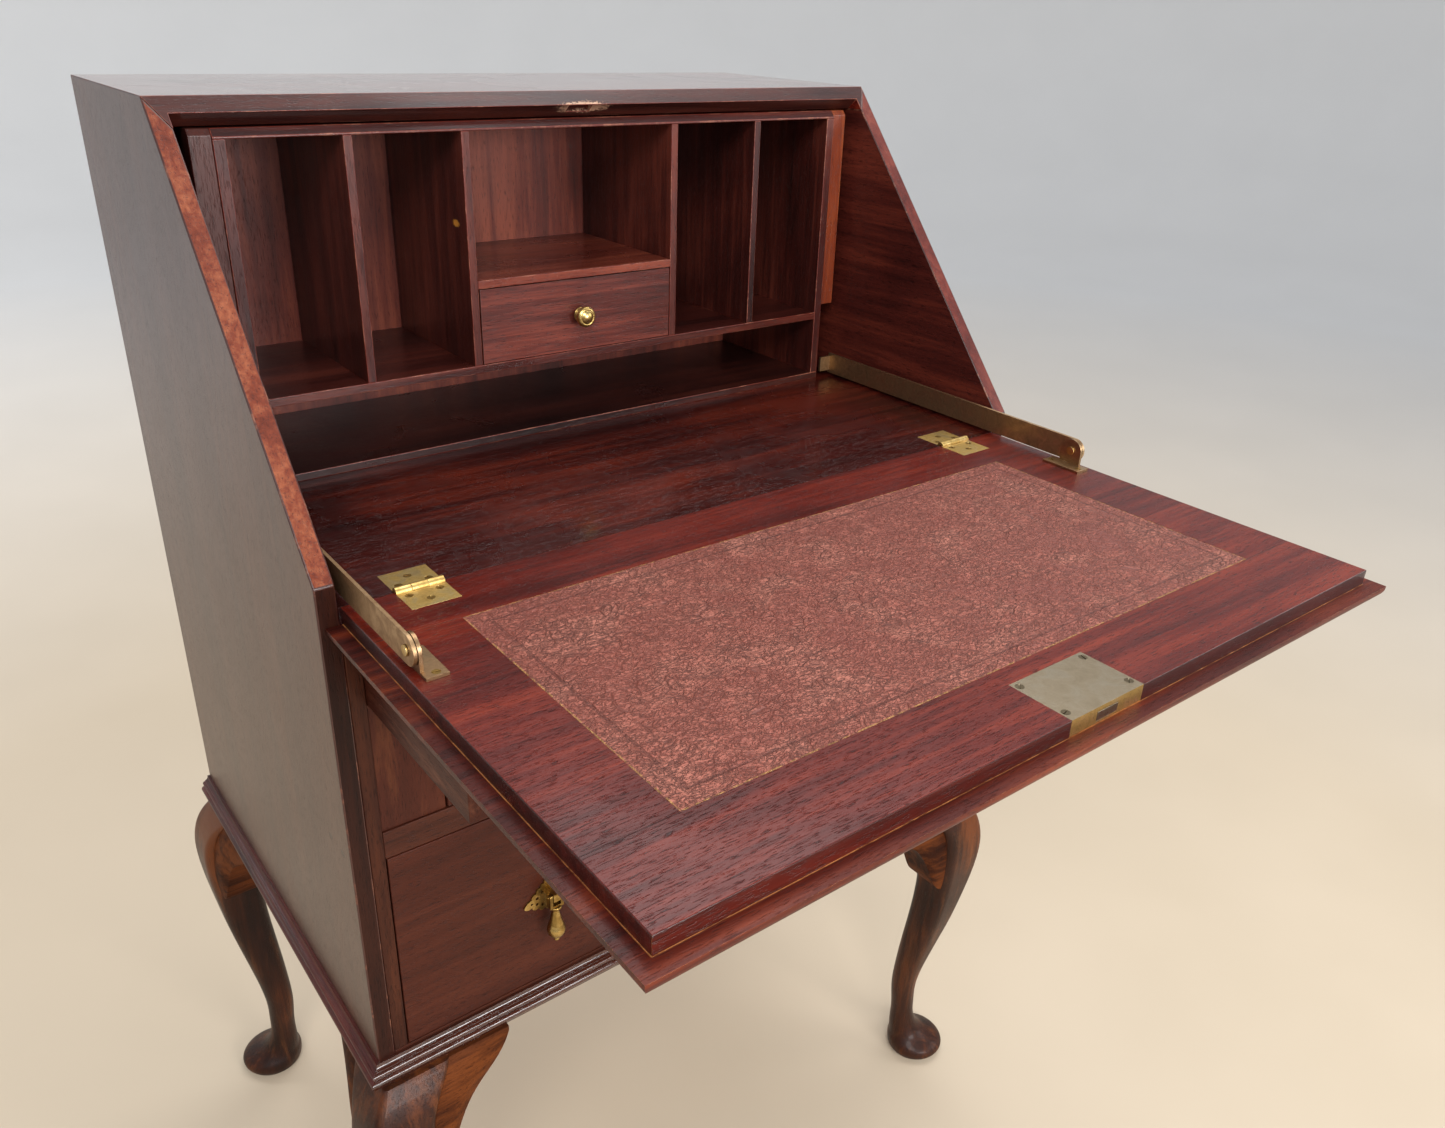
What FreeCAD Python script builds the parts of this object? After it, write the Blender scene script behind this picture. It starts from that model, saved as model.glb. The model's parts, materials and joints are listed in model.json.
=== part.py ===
import FreeCAD, Part
import math
import os
import re

import Sketcher
from FreeCAD import Placement, Rotation, Vector

# Secretary desk with a sloping fall front, on four cabriole legs.
#
# Millimetres, +Z up, the front faces -Y. The origin is on the floor, under the middle of the
# desk with its fall open. Below, y is counted from the front of the case (front_y) and z from
# the writing surface (write_z), and x from the middle of the desk.

doc = FreeCAD.newDocument("secretary_desk")

# ---------------------------------------------------------------------------
# Sizes
# ---------------------------------------------------------------------------

DRIVING = [
    ("width", 610.0, "case, side to side"),
    ("depth", 419.0, "case, front to back"),
    ("write_z", 744.5, "writing surface above the floor"),
    ("case_drop", 386.0, "case below the writing surface"),
    ("slope_angle", 49.62, "degrees from level, of the closed fall"),
    ("slope_run", 212.5, "front to back, under the slope"),
    ("side_thick", 13.0, "sides of the case"),
    ("top_thick", 18.4, "top board"),
    ("top_band", 12.7, "front edge of the top, along the slope"),
    ("back_thick", 6.0, "back panel"),
    ("board_thick", 19.7, "writing board, and the fall in all"),
    ("play", 0.3, "between pieces that move past each other"),
    ("hinge_in", 0.5, "fall hinge line behind the case front"),
    ("raised_reach", 326.2, "hinge line to the end of the fall's raised field"),
    ("lip_reach", 337.2, "hinge line to the end of the fall's lip"),
    ("raised_half", 290.5, "half the width of the raised field"),
    ("lip_half", 301.1, "half the width of the lip"),
    ("raised_thick", 10.75, "raised field above the lip"),
    ("lip_round", 7.4, "rounding of the lip's outer edge"),
    ("leather_half", 237.0, "half the width of the leather"),
    ("leather_back", 50.2, "leather, its edge near the hinges"),
    ("leather_front", 270.0, "leather, its edge near the lock"),
    ("leather_thick", 1.2, "leather"),
    ("stile_thick", 10.1, "front stiles"),
    ("face_thick", 22.0, "front stiles and rails, front to back"),
    ("rail_top", 171.7, "top of the middle rail, below the writing surface"),
    ("rail_low", 193.4, "underside of the middle rail"),
    ("floor_top", 366.0, "top of the bottom board"),
    ("loper_in", 256.5, "loper's inner face from the middle"),
    ("loper_thick", 25.0, "loper"),
    ("loper_deep", 52.0, "loper, top to bottom"),
    ("loper_out", 141.0, "loper pulled out in front of the case"),
    ("loper_long", 330.0, "loper, end to end"),
    ("bay_half", 236.0, "half the width of the upper drawer's bay"),
    ("drawer_gap", 0.9, "round a drawer front"),
    ("front_thick", 17.0, "drawer fronts"),
    ("lining", 9.0, "drawer sides and backs"),
    ("drawer_base", 5.0, "drawer bottoms"),
    ("unit_front", 206.0, "front of the pigeonhole unit"),
    ("unit_deep", 142.0, "unit, front to back inside"),
    ("unit_half", 268.0, "half the width of the unit"),
    ("unit_side", 8.0, "sides of the unit"),
    ("unit_board", 6.5, "dividers and shelves"),
    ("unit_floor", 6.0, "base of the unit"),
    ("unit_slot", 53.0, "height of the long slot"),
    ("unit_top", 246.0, "top of the unit"),
    ("unit_back", 5.0, "back of the unit"),
    ("unit_slant", 4.3, "front edge of the unit's top, sloped off"),
    ("shelf_z", 131.5, "top of the centre shelf"),
    ("outer_divider", 180.0, "outer dividers from the middle"),
    ("inner_divider", 93.0, "inner dividers from the middle"),
    ("filler_edge", 282.5, "outer face of the filler strips"),
    ("filler_deep", 18.0, "filler strips, front to back"),
    ("filler_low", 72.0, "foot of the filler strips"),
    ("tray_front", 8.0, "front of the small drawer"),
    ("tray_lining", 5.0, "sides and back of the small drawer"),
    ("hinge_x", 241.0, "middle of a hinge"),
    ("hinge_long", 32.0, "hinge leaf, along the hinge line"),
    ("leaf_wide", 26.5, "hinge leaf, from the pin"),
    ("leaf_thick", 1.6, "hinge leaf"),
    ("knuckle_r", 3.2, "hinge knuckle"),
    ("pin_r", 1.25, "hinge pin"),
    ("screw_r", 2.7, "screw head"),
    ("lock_x", 3.8, "middle of the lock"),
    ("lock_half", 31.6, "half the width of the lock plate"),
    ("lock_deep", 42.0, "lock plate, from the raised edge inwards"),
    ("lock_plate", 1.6, "lock plate"),
    ("bolt_half", 9.0, "half the width of the lock bolt"),
    ("bolt_thick", 5.4, "lock bolt"),
    ("bolt_travel", 8.0, "lock bolt, thrown"),
    ("stay_x", 284.3, "inner face of a stay bar"),
    ("stay_thick", 2.4, "stay bar"),
    ("stay_high", 19.0, "stay bar, top to bottom"),
    ("stay_pivot_y", 87.8, "stay pivot in front of the case"),
    ("stay_pivot_z", 12.3, "stay pivot above the writing surface"),
    ("stay_end_y", 208.0, "back end of a stay bar"),
    ("rivet_r", 2.0, "stay rivet"),
    ("moulding_high", 18.0, "base moulding"),
    ("moulding_out", 9.6, "base moulding, proud of the case"),
    ("foot_x", 298.0, "middle of a foot"),
    ("foot_front", -3.0, "middle of a front foot"),
    ("foot_back", 401.0, "middle of a back foot"),
    ("foot_spread", 1.5, "foot pad's middle beyond the foot's middle, outwards"),
    ("foot_r", 30.4, "foot pad"),
    ("pull_x_low", 162.7, "pulls of the lower drawer from the middle"),
    ("pull_z_low", 278.0, "their pivots, below the writing surface"),
    ("pull_x_up", 130.0, "pulls of the upper drawer from the middle"),
    ("pull_z_up", 86.0, "their pivots, below the writing surface"),
    ("pull_out", 12.0, "pull pivot in front of the drawer front"),
    ("pull_plate", 1.6, "pull back plate"),
    ("drop_long", 44.0, "pull drop, below its pivot"),
    ("drop_r", 7.05, "pull drop, at its widest"),
    ("pivot_r", 1.0, "pin of a pull"),
    ("knob_r", 8.5, "knob of the small drawer"),
    ("knob_z", 95.0, "knob above the writing surface"),
    ("dowel_r", 6.0, "dowel in the top of a leg"),
]

SIZE = {}
for name, value, meaning in DRIVING:
    SIZE[name] = value


def derived_sizes():
    """Sizes that follow from the driving ones, so that the closed fall seats on the slope."""
    sine = math.sin(math.radians(SIZE["slope_angle"]))
    cosine = math.cos(math.radians(SIZE["slope_angle"]))
    seat = SIZE["raised_thick"] - SIZE["play"]
    foot = (seat - SIZE["hinge_in"] * sine) / cosine
    rise = foot + SIZE["slope_run"] * sine / cosine
    fall_y = SIZE["lip_reach"] - SIZE["hinge_in"]
    back_y = SIZE["foot_back"] + SIZE["foot_spread"] + SIZE["foot_r"]
    band_y = SIZE["slope_run"] - SIZE["top_band"] * cosine
    band_z = rise - SIZE["top_band"] * sine
    under = rise - SIZE["top_thick"]
    step = (band_z - under) / cosine
    return [
        ("slope_foot", foot, "low end of the slope"),
        ("top_rise", rise, "top of the case above the writing surface"),
        ("front_y", (fall_y - back_y) / 2.0, "front of the case in the desk's frame"),
        ("band_y", band_y, "inner edge of the top's sloping front"),
        ("band_z", band_z, "height of that edge"),
        ("step_y", band_y + step * sine, "foot of the top's rebate"),
        ("under_y", SIZE["slope_run"] - SIZE["top_thick"] * cosine / sine, "slope under the top"),
        ("seat", seat, "hinge line to the slope, square to it"),
        ("side_in", SIZE["width"] / 2.0 - SIZE["side_thick"], "inner face of a side"),
        ("stile_in", SIZE["width"] / 2.0 - SIZE["side_thick"] - SIZE["stile_thick"],
         "inner face of a stile"),
        ("inner_depth", SIZE["depth"] - SIZE["back_thick"], "front of the back panel"),
        ("top_under", under, "underside of the top board"),
        ("raised_y", SIZE["raised_reach"] - SIZE["hinge_in"], "raised field in front of the case"),
        ("lip_y", fall_y, "lip in front of the case"),
        ("shelf_low", SIZE["unit_floor"] + SIZE["unit_slot"], "underside of the long shelf"),
    ]


DERIVED = derived_sizes()
for name, value, meaning in DERIVED:
    SIZE[name] = value

sheet = doc.addObject("Spreadsheet::Sheet", "Sizes")
for row, (name, value, meaning) in enumerate(DRIVING + DERIVED, start=1):
    sheet.set("A%d" % row, "%.6f" % value)
    sheet.setAlias("A%d" % row, name)
    sheet.set("B%d" % row, meaning)
doc.recompute()


def amount(text):
    """The value of a sum of products of sizes and numbers, such as 'width/2 - side_thick'."""
    total = 0.0
    for sign, term in re.findall(r"([+-]?)([^+-]+)", text.replace(" ", "")):
        product = 1.0
        for operator, word in re.findall(r"([*/]?)([A-Za-z_0-9.]+)", term):
            number = SIZE[word] if word in SIZE else float(word)
            product = product / number if operator == "/" else product * number
        total += -product if sign == "-" else product
    return total


def bound(text):
    """The same sum as an expression on the sheet."""
    return re.sub(r"[A-Za-z_]\w*", lambda found: "Sizes." + found.group(0), text)


def bind(thing, **properties):
    """Binds properties of a document object to sums of sizes."""
    for name, text in properties.items():
        thing.setExpression(name, bound(text))


def place(thing, x="0", y="0", z="0"):
    """Puts an object at x from the middle, y from the case front, z from the writing surface."""
    thing.setExpression("Placement.Base.x", bound(x))
    thing.setExpression("Placement.Base.y", bound("front_y + " + y))
    thing.setExpression("Placement.Base.z", bound("write_z + " + z))


# ---------------------------------------------------------------------------
# Tools of the trade
# ---------------------------------------------------------------------------

NODES = []


def piece(thing):
    """Keeps an object as one sub-part, exported under its label."""
    NODES.append(thing)
    return thing


def box(label, x, y, z):
    """A box between two bounds on each axis, each bound a sum of sizes."""
    thing = doc.addObject("Part::Box", label)
    thing.Label = label
    bind(thing, Length="%s - (%s)" % (x[1], x[0]))
    bind(thing, Width="%s - (%s)" % (y[1], y[0]))
    bind(thing, Height="%s - (%s)" % (z[1], z[0]))
    place(thing, x[0], y[0], z[0])
    return thing


def cylinder(label, radius, length, x, y, z, along="z"):
    """A cylinder from a point along +x, +y or +z."""
    thing = doc.addObject("Part::Cylinder", label)
    thing.Label = label
    bind(thing, Radius=radius, Height=length)
    place(thing, x, y, z)
    if along == "x":
        thing.Placement.Rotation = Rotation(Vector(0, 1, 0), 90)
    if along == "y":
        thing.Placement.Rotation = Rotation(Vector(1, 0, 0), -90)
    return thing


def negated(text):
    """The same sum with every sign turned round."""
    swapped = text.replace(" ", "").translate(str.maketrans("+-", "-+"))
    return swapped[1:] if swapped.startswith("+") else "-" + swapped


def hand_range(hand, inner, outer):
    """A range of x on the right (+1), or its mirror image on the left (-1)."""
    if hand > 0:
        return (inner, outer)
    return (negated(outer), negated(inner))


def side_word(hand):
    return "right" if hand > 0 else "left"


def group(label, members):
    """Several separate solids in one sub-part."""
    thing = doc.addObject("Part::Compound", label)
    thing.Label = label
    thing.Links = members
    return thing


def cut(label, base, tools):
    """A base with one or more tools taken away."""
    for count, tool in enumerate(tools, start=1):
        result = doc.addObject("Part::Cut", "%s_cut_%d" % (label, count))
        result.Base = base
        result.Tool = tool
        base = result
    base.Label = label
    return base


def fuse(label, members):
    thing = doc.addObject("Part::MultiFuse", label)
    thing.Label = label
    thing.Shapes = members
    thing.Refine = True
    return thing


def new_body(label, x="0", y="0", z="0"):
    body = doc.addObject("PartDesign::Body", label)
    body.Label = label
    place(body, x, y, z)
    return body


def new_sketch(body, name, role):
    """An empty sketch on one of the body's own origin planes."""
    sketch = body.newObject("Sketcher::SketchObject", name)
    plane = [feature for feature in body.Origin.OriginFeatures if feature.Role == role][0]
    sketch.AttachmentSupport = [(plane, "")]
    sketch.MapMode = "FlatFace"
    return sketch


def offset(sketch, distance):
    """Moves a sketch along its own normal."""
    sketch.AttachmentOffset = Placement(Vector(0, 0, amount(distance)), Rotation())
    sketch.setExpression("AttachmentOffset.Base.z", bound(distance))


def fix_point(sketch, edge, end, point):
    """Fixes the end of a sketch edge at a point, each coordinate a sum of sizes."""
    for kind, axis, text in (("DistanceX", -2, point[0]), ("DistanceY", -1, point[1])):
        value = amount(text)
        if abs(value) < 1e-7:
            sketch.addConstraint(Sketcher.Constraint("PointOnObject", edge, end, axis))
            continue
        number = sketch.addConstraint(Sketcher.Constraint(kind, -1, 1, edge, end, value))
        sketch.setExpression("Constraints[%d]" % number, bound(text))


def draw_polygon(sketch, points):
    """A closed run of straight edges, every corner fixed by the sheet."""
    corners = [Vector(amount(u), amount(v), 0) for u, v in points]
    first = sketch.GeometryCount
    for start, end in zip(corners, corners[1:] + corners[:1]):
        sketch.addGeometry(Part.LineSegment(start, end), False)
    count = len(points)
    for i in range(count):
        follower = first + (i + 1) % count
        sketch.addConstraint(Sketcher.Constraint("Coincident", first + i, 2, follower, 1))
    for i, point in enumerate(points):
        fix_point(sketch, first + i, 1, point)


def draw_rectangle(sketch, u, v):
    draw_polygon(sketch, [(u[0], v[0]), (u[1], v[0]), (u[1], v[1]), (u[0], v[1])])


def draw_circle(sketch, centre, radius):
    """A circle with its centre and radius fixed by the sheet."""
    middle = Vector(amount(centre[0]), amount(centre[1]), 0)
    edge = sketch.addGeometry(Part.Circle(middle, Vector(0, 0, 1), amount(radius)), False)
    number = sketch.addConstraint(Sketcher.Constraint("Radius", edge, amount(radius)))
    sketch.setExpression("Constraints[%d]" % number, bound(radius))
    fix_point(sketch, edge, 3, centre)


def arc(start, middle, end):
    return Part.Arc(Vector(*start, 0), Vector(*middle, 0), Vector(*end, 0))


def line(start, end):
    return Part.LineSegment(Vector(*start, 0), Vector(*end, 0))


def dome(radius, base, tip):
    """An arc from (radius, base) to (0, tip), centred on the axis so that it turns to a sphere."""
    rise = abs(tip - base)
    sphere = (radius * radius + rise * rise) / (2.0 * rise)
    way = 1.0 if tip > base else -1.0
    centre = tip - way * sphere
    half = math.asin(radius / sphere) / 2.0
    middle = (sphere * math.sin(half), centre + way * sphere * math.cos(half))
    return arc((radius, base), middle, (0, tip))


def draw_run(sketch, edges):
    """A closed run of lines and arcs, joined end to end."""
    first = sketch.GeometryCount
    sketch.addGeometry(edges, False)
    for i in range(len(edges)):
        follower = first + (i + 1) % len(edges)
        near = sketch.getPoint(first + i, 2)
        end = 1 if near.distanceToPoint(sketch.getPoint(follower, 1)) < 1e-4 else 2
        start = 2
        if near.distanceToPoint(sketch.getPoint(follower, end)) > 1e-4:
            start = 1
            near = sketch.getPoint(first + i, 1)
            end = 1 if near.distanceToPoint(sketch.getPoint(follower, 1)) < 1e-4 else 2
        sketch.addConstraint(Sketcher.Constraint("Coincident", first + i, start, follower, end))


def pad(body, sketch, length, both=False, back=False):
    feature = body.newObject("PartDesign::Pad", sketch.Name + "_pad")
    feature.Profile = sketch
    bind(feature, Length=length)
    feature.Midplane = both
    feature.Reversed = back
    sketch.Visibility = False
    return feature


def pocket(body, sketch, length=None, back=False):
    """A pocket of a given depth, or right through both ways when no depth is given."""
    feature = body.newObject("PartDesign::Pocket", sketch.Name + "_pocket")
    feature.Profile = sketch
    if length is None:
        feature.Type = "ThroughAll"
        feature.Midplane = True
    else:
        bind(feature, Length=length)
        feature.Reversed = back
    return feature


def revolve(body, sketch, axis="V_Axis"):
    feature = body.newObject("PartDesign::Revolution", sketch.Name + "_turned")
    feature.Profile = sketch
    feature.ReferenceAxis = (sketch, [axis])
    feature.Angle = 360.0
    return feature


def edges_where(shape, test):
    """Names of the edges whose middle passes a test."""
    names = []
    for number, edge in enumerate(shape.Edges, start=1):
        middle = edge.valueAt((edge.FirstParameter + edge.LastParameter) / 2.0)
        if test(edge, middle):
            names.append("Edge%d" % number)
    return names


def round_edges(body, feature, radius, test, name="rounding"):
    """Rounds the edges of a feature that pass a test."""
    doc.recompute()
    rounding = body.newObject("PartDesign::Fillet", "%s_%s" % (body.Name, name))
    rounding.Base = (feature, edges_where(feature.Shape, test))
    rounding.Radius = radius
    return rounding


# ---------------------------------------------------------------------------
# Case
# ---------------------------------------------------------------------------

HANDS = (-1, 1)


def make_side(hand):
    """A side of the case, with its sloping front edge, mitred to the top."""
    inner, outer = hand_range(hand, "side_in", "width/2")
    body = new_body("side_" + side_word(hand), x=inner)
    outline = new_sketch(body, "side_outline_" + side_word(hand), "YZ_Plane")
    draw_polygon(outline, [("0", "-case_drop"), ("depth", "-case_drop"), ("depth", "top_rise"),
                           ("slope_run", "top_rise"), ("0", "slope_foot")])
    pad(body, outline, "side_thick")
    mitre = new_sketch(body, "side_mitre_" + side_word(hand), "XZ_Plane")
    near, far = ("0", "side_thick") if hand > 0 else ("side_thick", "0")
    draw_polygon(mitre, [(near, "top_under"), (near, "top_rise"), (far, "top_rise")])
    pocket(body, mitre)
    return piece(body)


def make_top():
    """The top board: a sloping front edge, a rebate that takes the end of the closed fall,
    mitred ends, and a mortise for the lock bolt."""
    body = new_body("top_body")
    outline = new_sketch(body, "top_outline", "YZ_Plane")
    draw_polygon(outline, [("slope_run", "top_rise"), ("under_y", "top_under"),
                           ("depth", "top_under"), ("depth", "top_rise")])
    pad(body, outline, "width", both=True)
    mitres = new_sketch(body, "top_mitres", "XZ_Plane")
    draw_polygon(mitres, [("side_in", "top_under"), ("width/2", "top_under"),
                          ("width/2", "top_rise")])
    draw_polygon(mitres, [("-side_in", "top_under"), ("-width/2", "top_under"),
                          ("-width/2", "top_rise")])
    pocket(body, mitres)
    rebate = new_sketch(body, "top_rebate", "YZ_Plane")
    draw_polygon(rebate, [("band_y", "band_z"), ("step_y", "top_under"),
                          ("under_y", "top_under")])
    taken = pocket(body, rebate, "2*side_in")
    taken.Midplane = True

    mortise = doc.addObject("Part::Box", "bolt_mortise")
    slack = 2.0
    reach = SIZE["raised_reach"] - slack
    bind(mortise, Length="2*bolt_half + 2", Width="bolt_travel + 4", Height="bolt_thick + 2")
    slope = math.radians(SIZE["slope_angle"])
    low = SIZE["bolt_thick"] / 2.0 + 0.5 - 1.0
    mortise.Placement = Placement(
        Vector(SIZE["lock_x"] - SIZE["bolt_half"] - 1.0,
               SIZE["front_y"] + SIZE["hinge_in"] + reach * math.cos(slope) - low * math.sin(slope),
               SIZE["write_z"] + reach * math.sin(slope) + low * math.cos(slope)),
        Rotation(Vector(1, 0, 0), SIZE["slope_angle"]))
    return piece(cut("top_board", body, [mortise]))


def make_case_boards():
    """The plain boards of the case."""
    piece(box("back_panel", ("-side_in", "side_in"), ("inner_depth", "depth"),
              ("-case_drop", "top_under")))
    piece(box("mid_rail", ("-stile_in", "stile_in"), ("0", "face_thick"),
              ("-rail_low", "-rail_top")))
    piece(box("dust_panel", ("-side_in", "side_in"), ("face_thick", "inner_depth"),
              ("-rail_top - 11", "-rail_top")))
    stiles = []
    faces = []
    partitions = []
    runners = []
    guides = []
    for hand in HANDS:
        word = side_word(hand)
        stiles.append(box("stile_" + word, hand_range(hand, "stile_in", "side_in"),
                          ("0", "face_thick"), ("-floor_top", "-board_thick")))
        slot_low = "-board_thick - play - loper_deep - play"
        faces.append(box("loper_face_" + word, hand_range(hand, "bay_half", "stile_in"),
                         ("1.5", "face_thick"), ("-rail_top", slot_low)))
        faces.append(box("loper_post_" + word, hand_range(hand, "bay_half", "loper_in - play"),
                         ("1.5", "face_thick"), (slot_low, "-board_thick")))
        partitions.append(box("partition_" + word,
                              hand_range(hand, "bay_half", "loper_in - play"),
                              ("face_thick", "inner_depth"), ("-rail_top", "-board_thick")))
        runners.append(box("loper_runner_" + word,
                           hand_range(hand, "loper_in - play", "side_in"),
                           ("face_thick", "inner_depth"), (slot_low + " - 12", slot_low)))
        runners.append(box("loper_packing_" + word, hand_range(hand, "stile_in", "side_in"),
                           ("face_thick", "inner_depth"), (slot_low, "-board_thick")))
        guides.append(box("drawer_guide_" + word, hand_range(hand, "stile_in", "side_in"),
                          ("face_thick", "inner_depth"), ("-floor_top", "-floor_top + 26")))
    piece(group("front_stiles", stiles))
    piece(group("loper_faces", faces))
    piece(group("loper_partitions", partitions))
    piece(group("loper_runners", runners))
    piece(group("drawer_guides", guides))


def dowel_places():
    """x, y of the dowel in the middle of each leg's top, and the leg's name."""
    inward = SIZE["foot_x"] + LEG_SECTIONS[0][1]
    return [
        ("front_left", -inward, SIZE["foot_front"] - LEG_SECTIONS[0][1]),
        ("front_right", inward, SIZE["foot_front"] - LEG_SECTIONS[0][1]),
        ("back_left", -inward, SIZE["foot_back"] + LEG_SECTIONS[0][1]),
        ("back_right", inward, SIZE["foot_back"] + LEG_SECTIONS[0][1]),
    ]


DOWEL_UP = 14.0
DOWEL_DOWN = 30.0


def dowel_shape(x, y, radius):
    foot = Vector(x, y + SIZE["front_y"], SIZE["write_z"] - SIZE["case_drop"] - DOWEL_DOWN)
    return Part.makeCylinder(radius, DOWEL_UP + DOWEL_DOWN, foot)


def make_bottom():
    """The bottom board and the rail in front of it, bored for the legs' dowels."""
    holes = doc.addObject("Part::Feature", "dowel_holes")
    holes.Shape = Part.makeCompound([dowel_shape(x, y, SIZE["dowel_r"])
                                     for name, x, y in dowel_places()])
    rail = box("bottom_rail_blank", ("-side_in", "side_in"), ("0", "face_thick"),
               ("-case_drop", "-floor_top"))
    piece(cut("bottom_rail", rail, [holes]))
    board = box("bottom_board_blank", ("-side_in", "side_in"), ("face_thick", "inner_depth"),
                ("-case_drop", "-floor_top"))
    piece(cut("bottom_board", board, [holes]))
    dowels = doc.addObject("Part::Feature", "leg_dowels")
    dowels.Label = "leg_dowels"
    dowels.Shape = Part.makeCompound([dowel_shape(x, y, SIZE["dowel_r"])
                                      for name, x, y in dowel_places()])
    piece(dowels)


def make_writing_board():
    """The fixed half of the writing surface, let in for the hinges."""
    body = new_body("writing_plank")
    plan = new_sketch(body, "writing_plan", "XY_Plane")
    draw_rectangle(plan, ("-side_in", "side_in"), ("hinge_in + play", "inner_depth"))
    pad(body, plan, "board_thick", back=True)
    cut_hinge_recesses(body, "writing", 1)
    spots = [spot for hand in HANDS for spot in hinge_screw_places(hand, 1)]
    return piece(drilled("writing_board", body, spots))


def cut_hinge_recesses(body, name, way):
    """Recesses for two hinge leaves and their knuckles. way is +1 behind the hinge line and
    -1 in front of it."""
    leaf = new_sketch(body, name + "_leaf_recess", "XY_Plane")
    far = "hinge_in + leaf_wide" if way > 0 else "hinge_in - leaf_wide"
    near = "hinge_in - play" if way > 0 else "hinge_in + play"
    for hand in HANDS:
        draw_rectangle(leaf, hand_range(hand, "hinge_x - hinge_long/2", "hinge_x + hinge_long/2"),
                       (near, far))
    pocket(body, leaf, "leaf_thick")
    for hand in HANDS:
        barrel = new_sketch(body, "%s_barrel_%s" % (name, side_word(hand)), "YZ_Plane")
        offset(barrel, hand_range(hand, "hinge_x - hinge_long/2", "hinge_x + hinge_long/2")[1])
        draw_circle(barrel, ("hinge_in", "0"), "knuckle_r + play")
        pocket(body, barrel, "hinge_long")


def moulding_profile(out, low):
    """Edges of the base moulding's section: a small cove over two reeds. out maps a distance
    from the case to a sketch coordinate, low is the foot of the moulding."""
    high = low + SIZE["moulding_high"]
    proud = SIZE["moulding_out"]

    def at(distance, height):
        return (out * distance, low + height)

    return [
        line(at(0, 0), at(0, SIZE["moulding_high"])),
        line((0, high), at(2.4, SIZE["moulding_high"])),
        arc(at(2.4, 18.0), at(3.0, 14.9), at(5.2, 13.4)),
        line(at(5.2, 13.4), at(5.2, 12.6)),
        arc(at(5.2, 12.6), at(7.6, 10.4), at(5.8, 8.2)),
        line(at(5.8, 8.2), at(6.6, 7.6)),
        arc(at(6.6, 7.6), at(proud, 4.6), at(7.6, 1.7)),
        line(at(7.6, 1.7), at(7.6, 0)),
        line(at(7.6, 0), at(0, 0)),
    ]


def make_mouldings():
    """The base moulding: one strip along the front and one along each side, mitred."""
    corner = "width/2"
    wide = "width/2 + moulding_out"
    front = new_body("moulding_front")
    section = new_sketch(front, "front_reeds", "YZ_Plane")
    draw_run(section, moulding_profile(-1, -SIZE["case_drop"]))
    pad(front, section, "width + 2*moulding_out", both=True)
    ends = new_sketch(front, "front_mitres", "XY_Plane")
    draw_polygon(ends, [(corner, "0"), (wide, "0"), (wide, "-moulding_out")])
    draw_polygon(ends, [("-" + corner, "0"), ("-width/2 - moulding_out", "0"),
                        ("-width/2 - moulding_out", "-moulding_out")])
    pocket(front, ends)
    piece(front)

    strips = []
    for hand in HANDS:
        word = side_word(hand)
        strip = new_body("moulding_" + word, x="width/2" if hand > 0 else "-width/2")
        section = new_sketch(strip, "side_reeds_" + word, "XZ_Plane")
        offset(section, "moulding_out")
        draw_run(section, moulding_profile(hand, -SIZE["case_drop"]))
        pad(strip, section, "depth + moulding_out", back=True)
        end = new_sketch(strip, "side_mitre_end_" + word, "XY_Plane")
        tip = "moulding_out" if hand > 0 else "-moulding_out"
        draw_polygon(end, [("0", "0"), ("0", "-moulding_out"), (tip, "-moulding_out")])
        pocket(strip, end)
        strips.append(strip)
    piece(group("moulding_sides", strips))


# ---------------------------------------------------------------------------
# Legs
# ---------------------------------------------------------------------------

# Level sections of a leg from its top down: depth below the case, offset of the section's
# middle from the foot's middle (outwards, on both x and y), side of the section, and the
# radius of its corners. The knee swells outwards, the ankle is round and the foot is a pad.
LEG_SECTIONS = [
    (0.0, -16.0, 52.0, 4.0),
    (14.0, -7.0, 52.0, 6.0),
    (30.0, 1.4, 50.0, 8.0),
    (52.0, 5.8, 50.5, 10.0),
    (78.0, 5.9, 50.5, 11.0),
    (105.0, 5.6, 45.5, 11.0),
    (133.0, 3.6, 41.5, 11.5),
    (162.0, 0.4, 38.5, 12.0),
    (192.0, -3.8, 35.0, 12.5),
    (220.0, -7.8, 31.6, 13.0),
    (246.0, -11.0, 28.4, 13.2),
    (272.0, -12.6, 26.2, 12.9),
    (293.0, -11.8, 24.8, 12.2),
    (306.0, -11.3, 24.6, 12.1),
    (317.0, -10.6, 26.6, 13.1),
    (327.5, -8.8, 31.2, 15.4),
    (335.5, -5.6, 39.4, 19.5),
    (340.5, -2.2, 49.4, 24.5),
    (344.5, 0.2, 57.4, 28.5),
    (348.5, SIZE["foot_spread"], 2 * SIZE["foot_r"], SIZE["foot_r"] - 0.2),
    (354.0, SIZE["foot_spread"], 2 * SIZE["foot_r"] - 1.6, SIZE["foot_r"] - 1.0),
    (358.5, SIZE["foot_spread"], 2 * SIZE["foot_r"] - 8.8, SIZE["foot_r"] - 4.6),
]


def rounded_square(x, y, z, side, radius):
    """A level square wire with round corners."""
    half = side / 2.0
    flat = half - radius
    bulge = radius * math.sqrt(0.5)
    edges = []
    for turn in range(4):
        quarter = Rotation(Vector(0, 0, 1), 90.0 * turn)
        points = [Vector(half, -flat, 0), Vector(half, flat, 0),
                  Vector(flat + bulge, flat + bulge, 0), Vector(flat, half, 0)]
        points = [quarter.multVec(point) + Vector(x, y, z) for point in points]
        edges.append(Part.LineSegment(points[0], points[1]).toShape())
        edges.append(Part.Arc(points[1], points[2], points[3]).toShape())
    return Part.Wire(edges)


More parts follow.
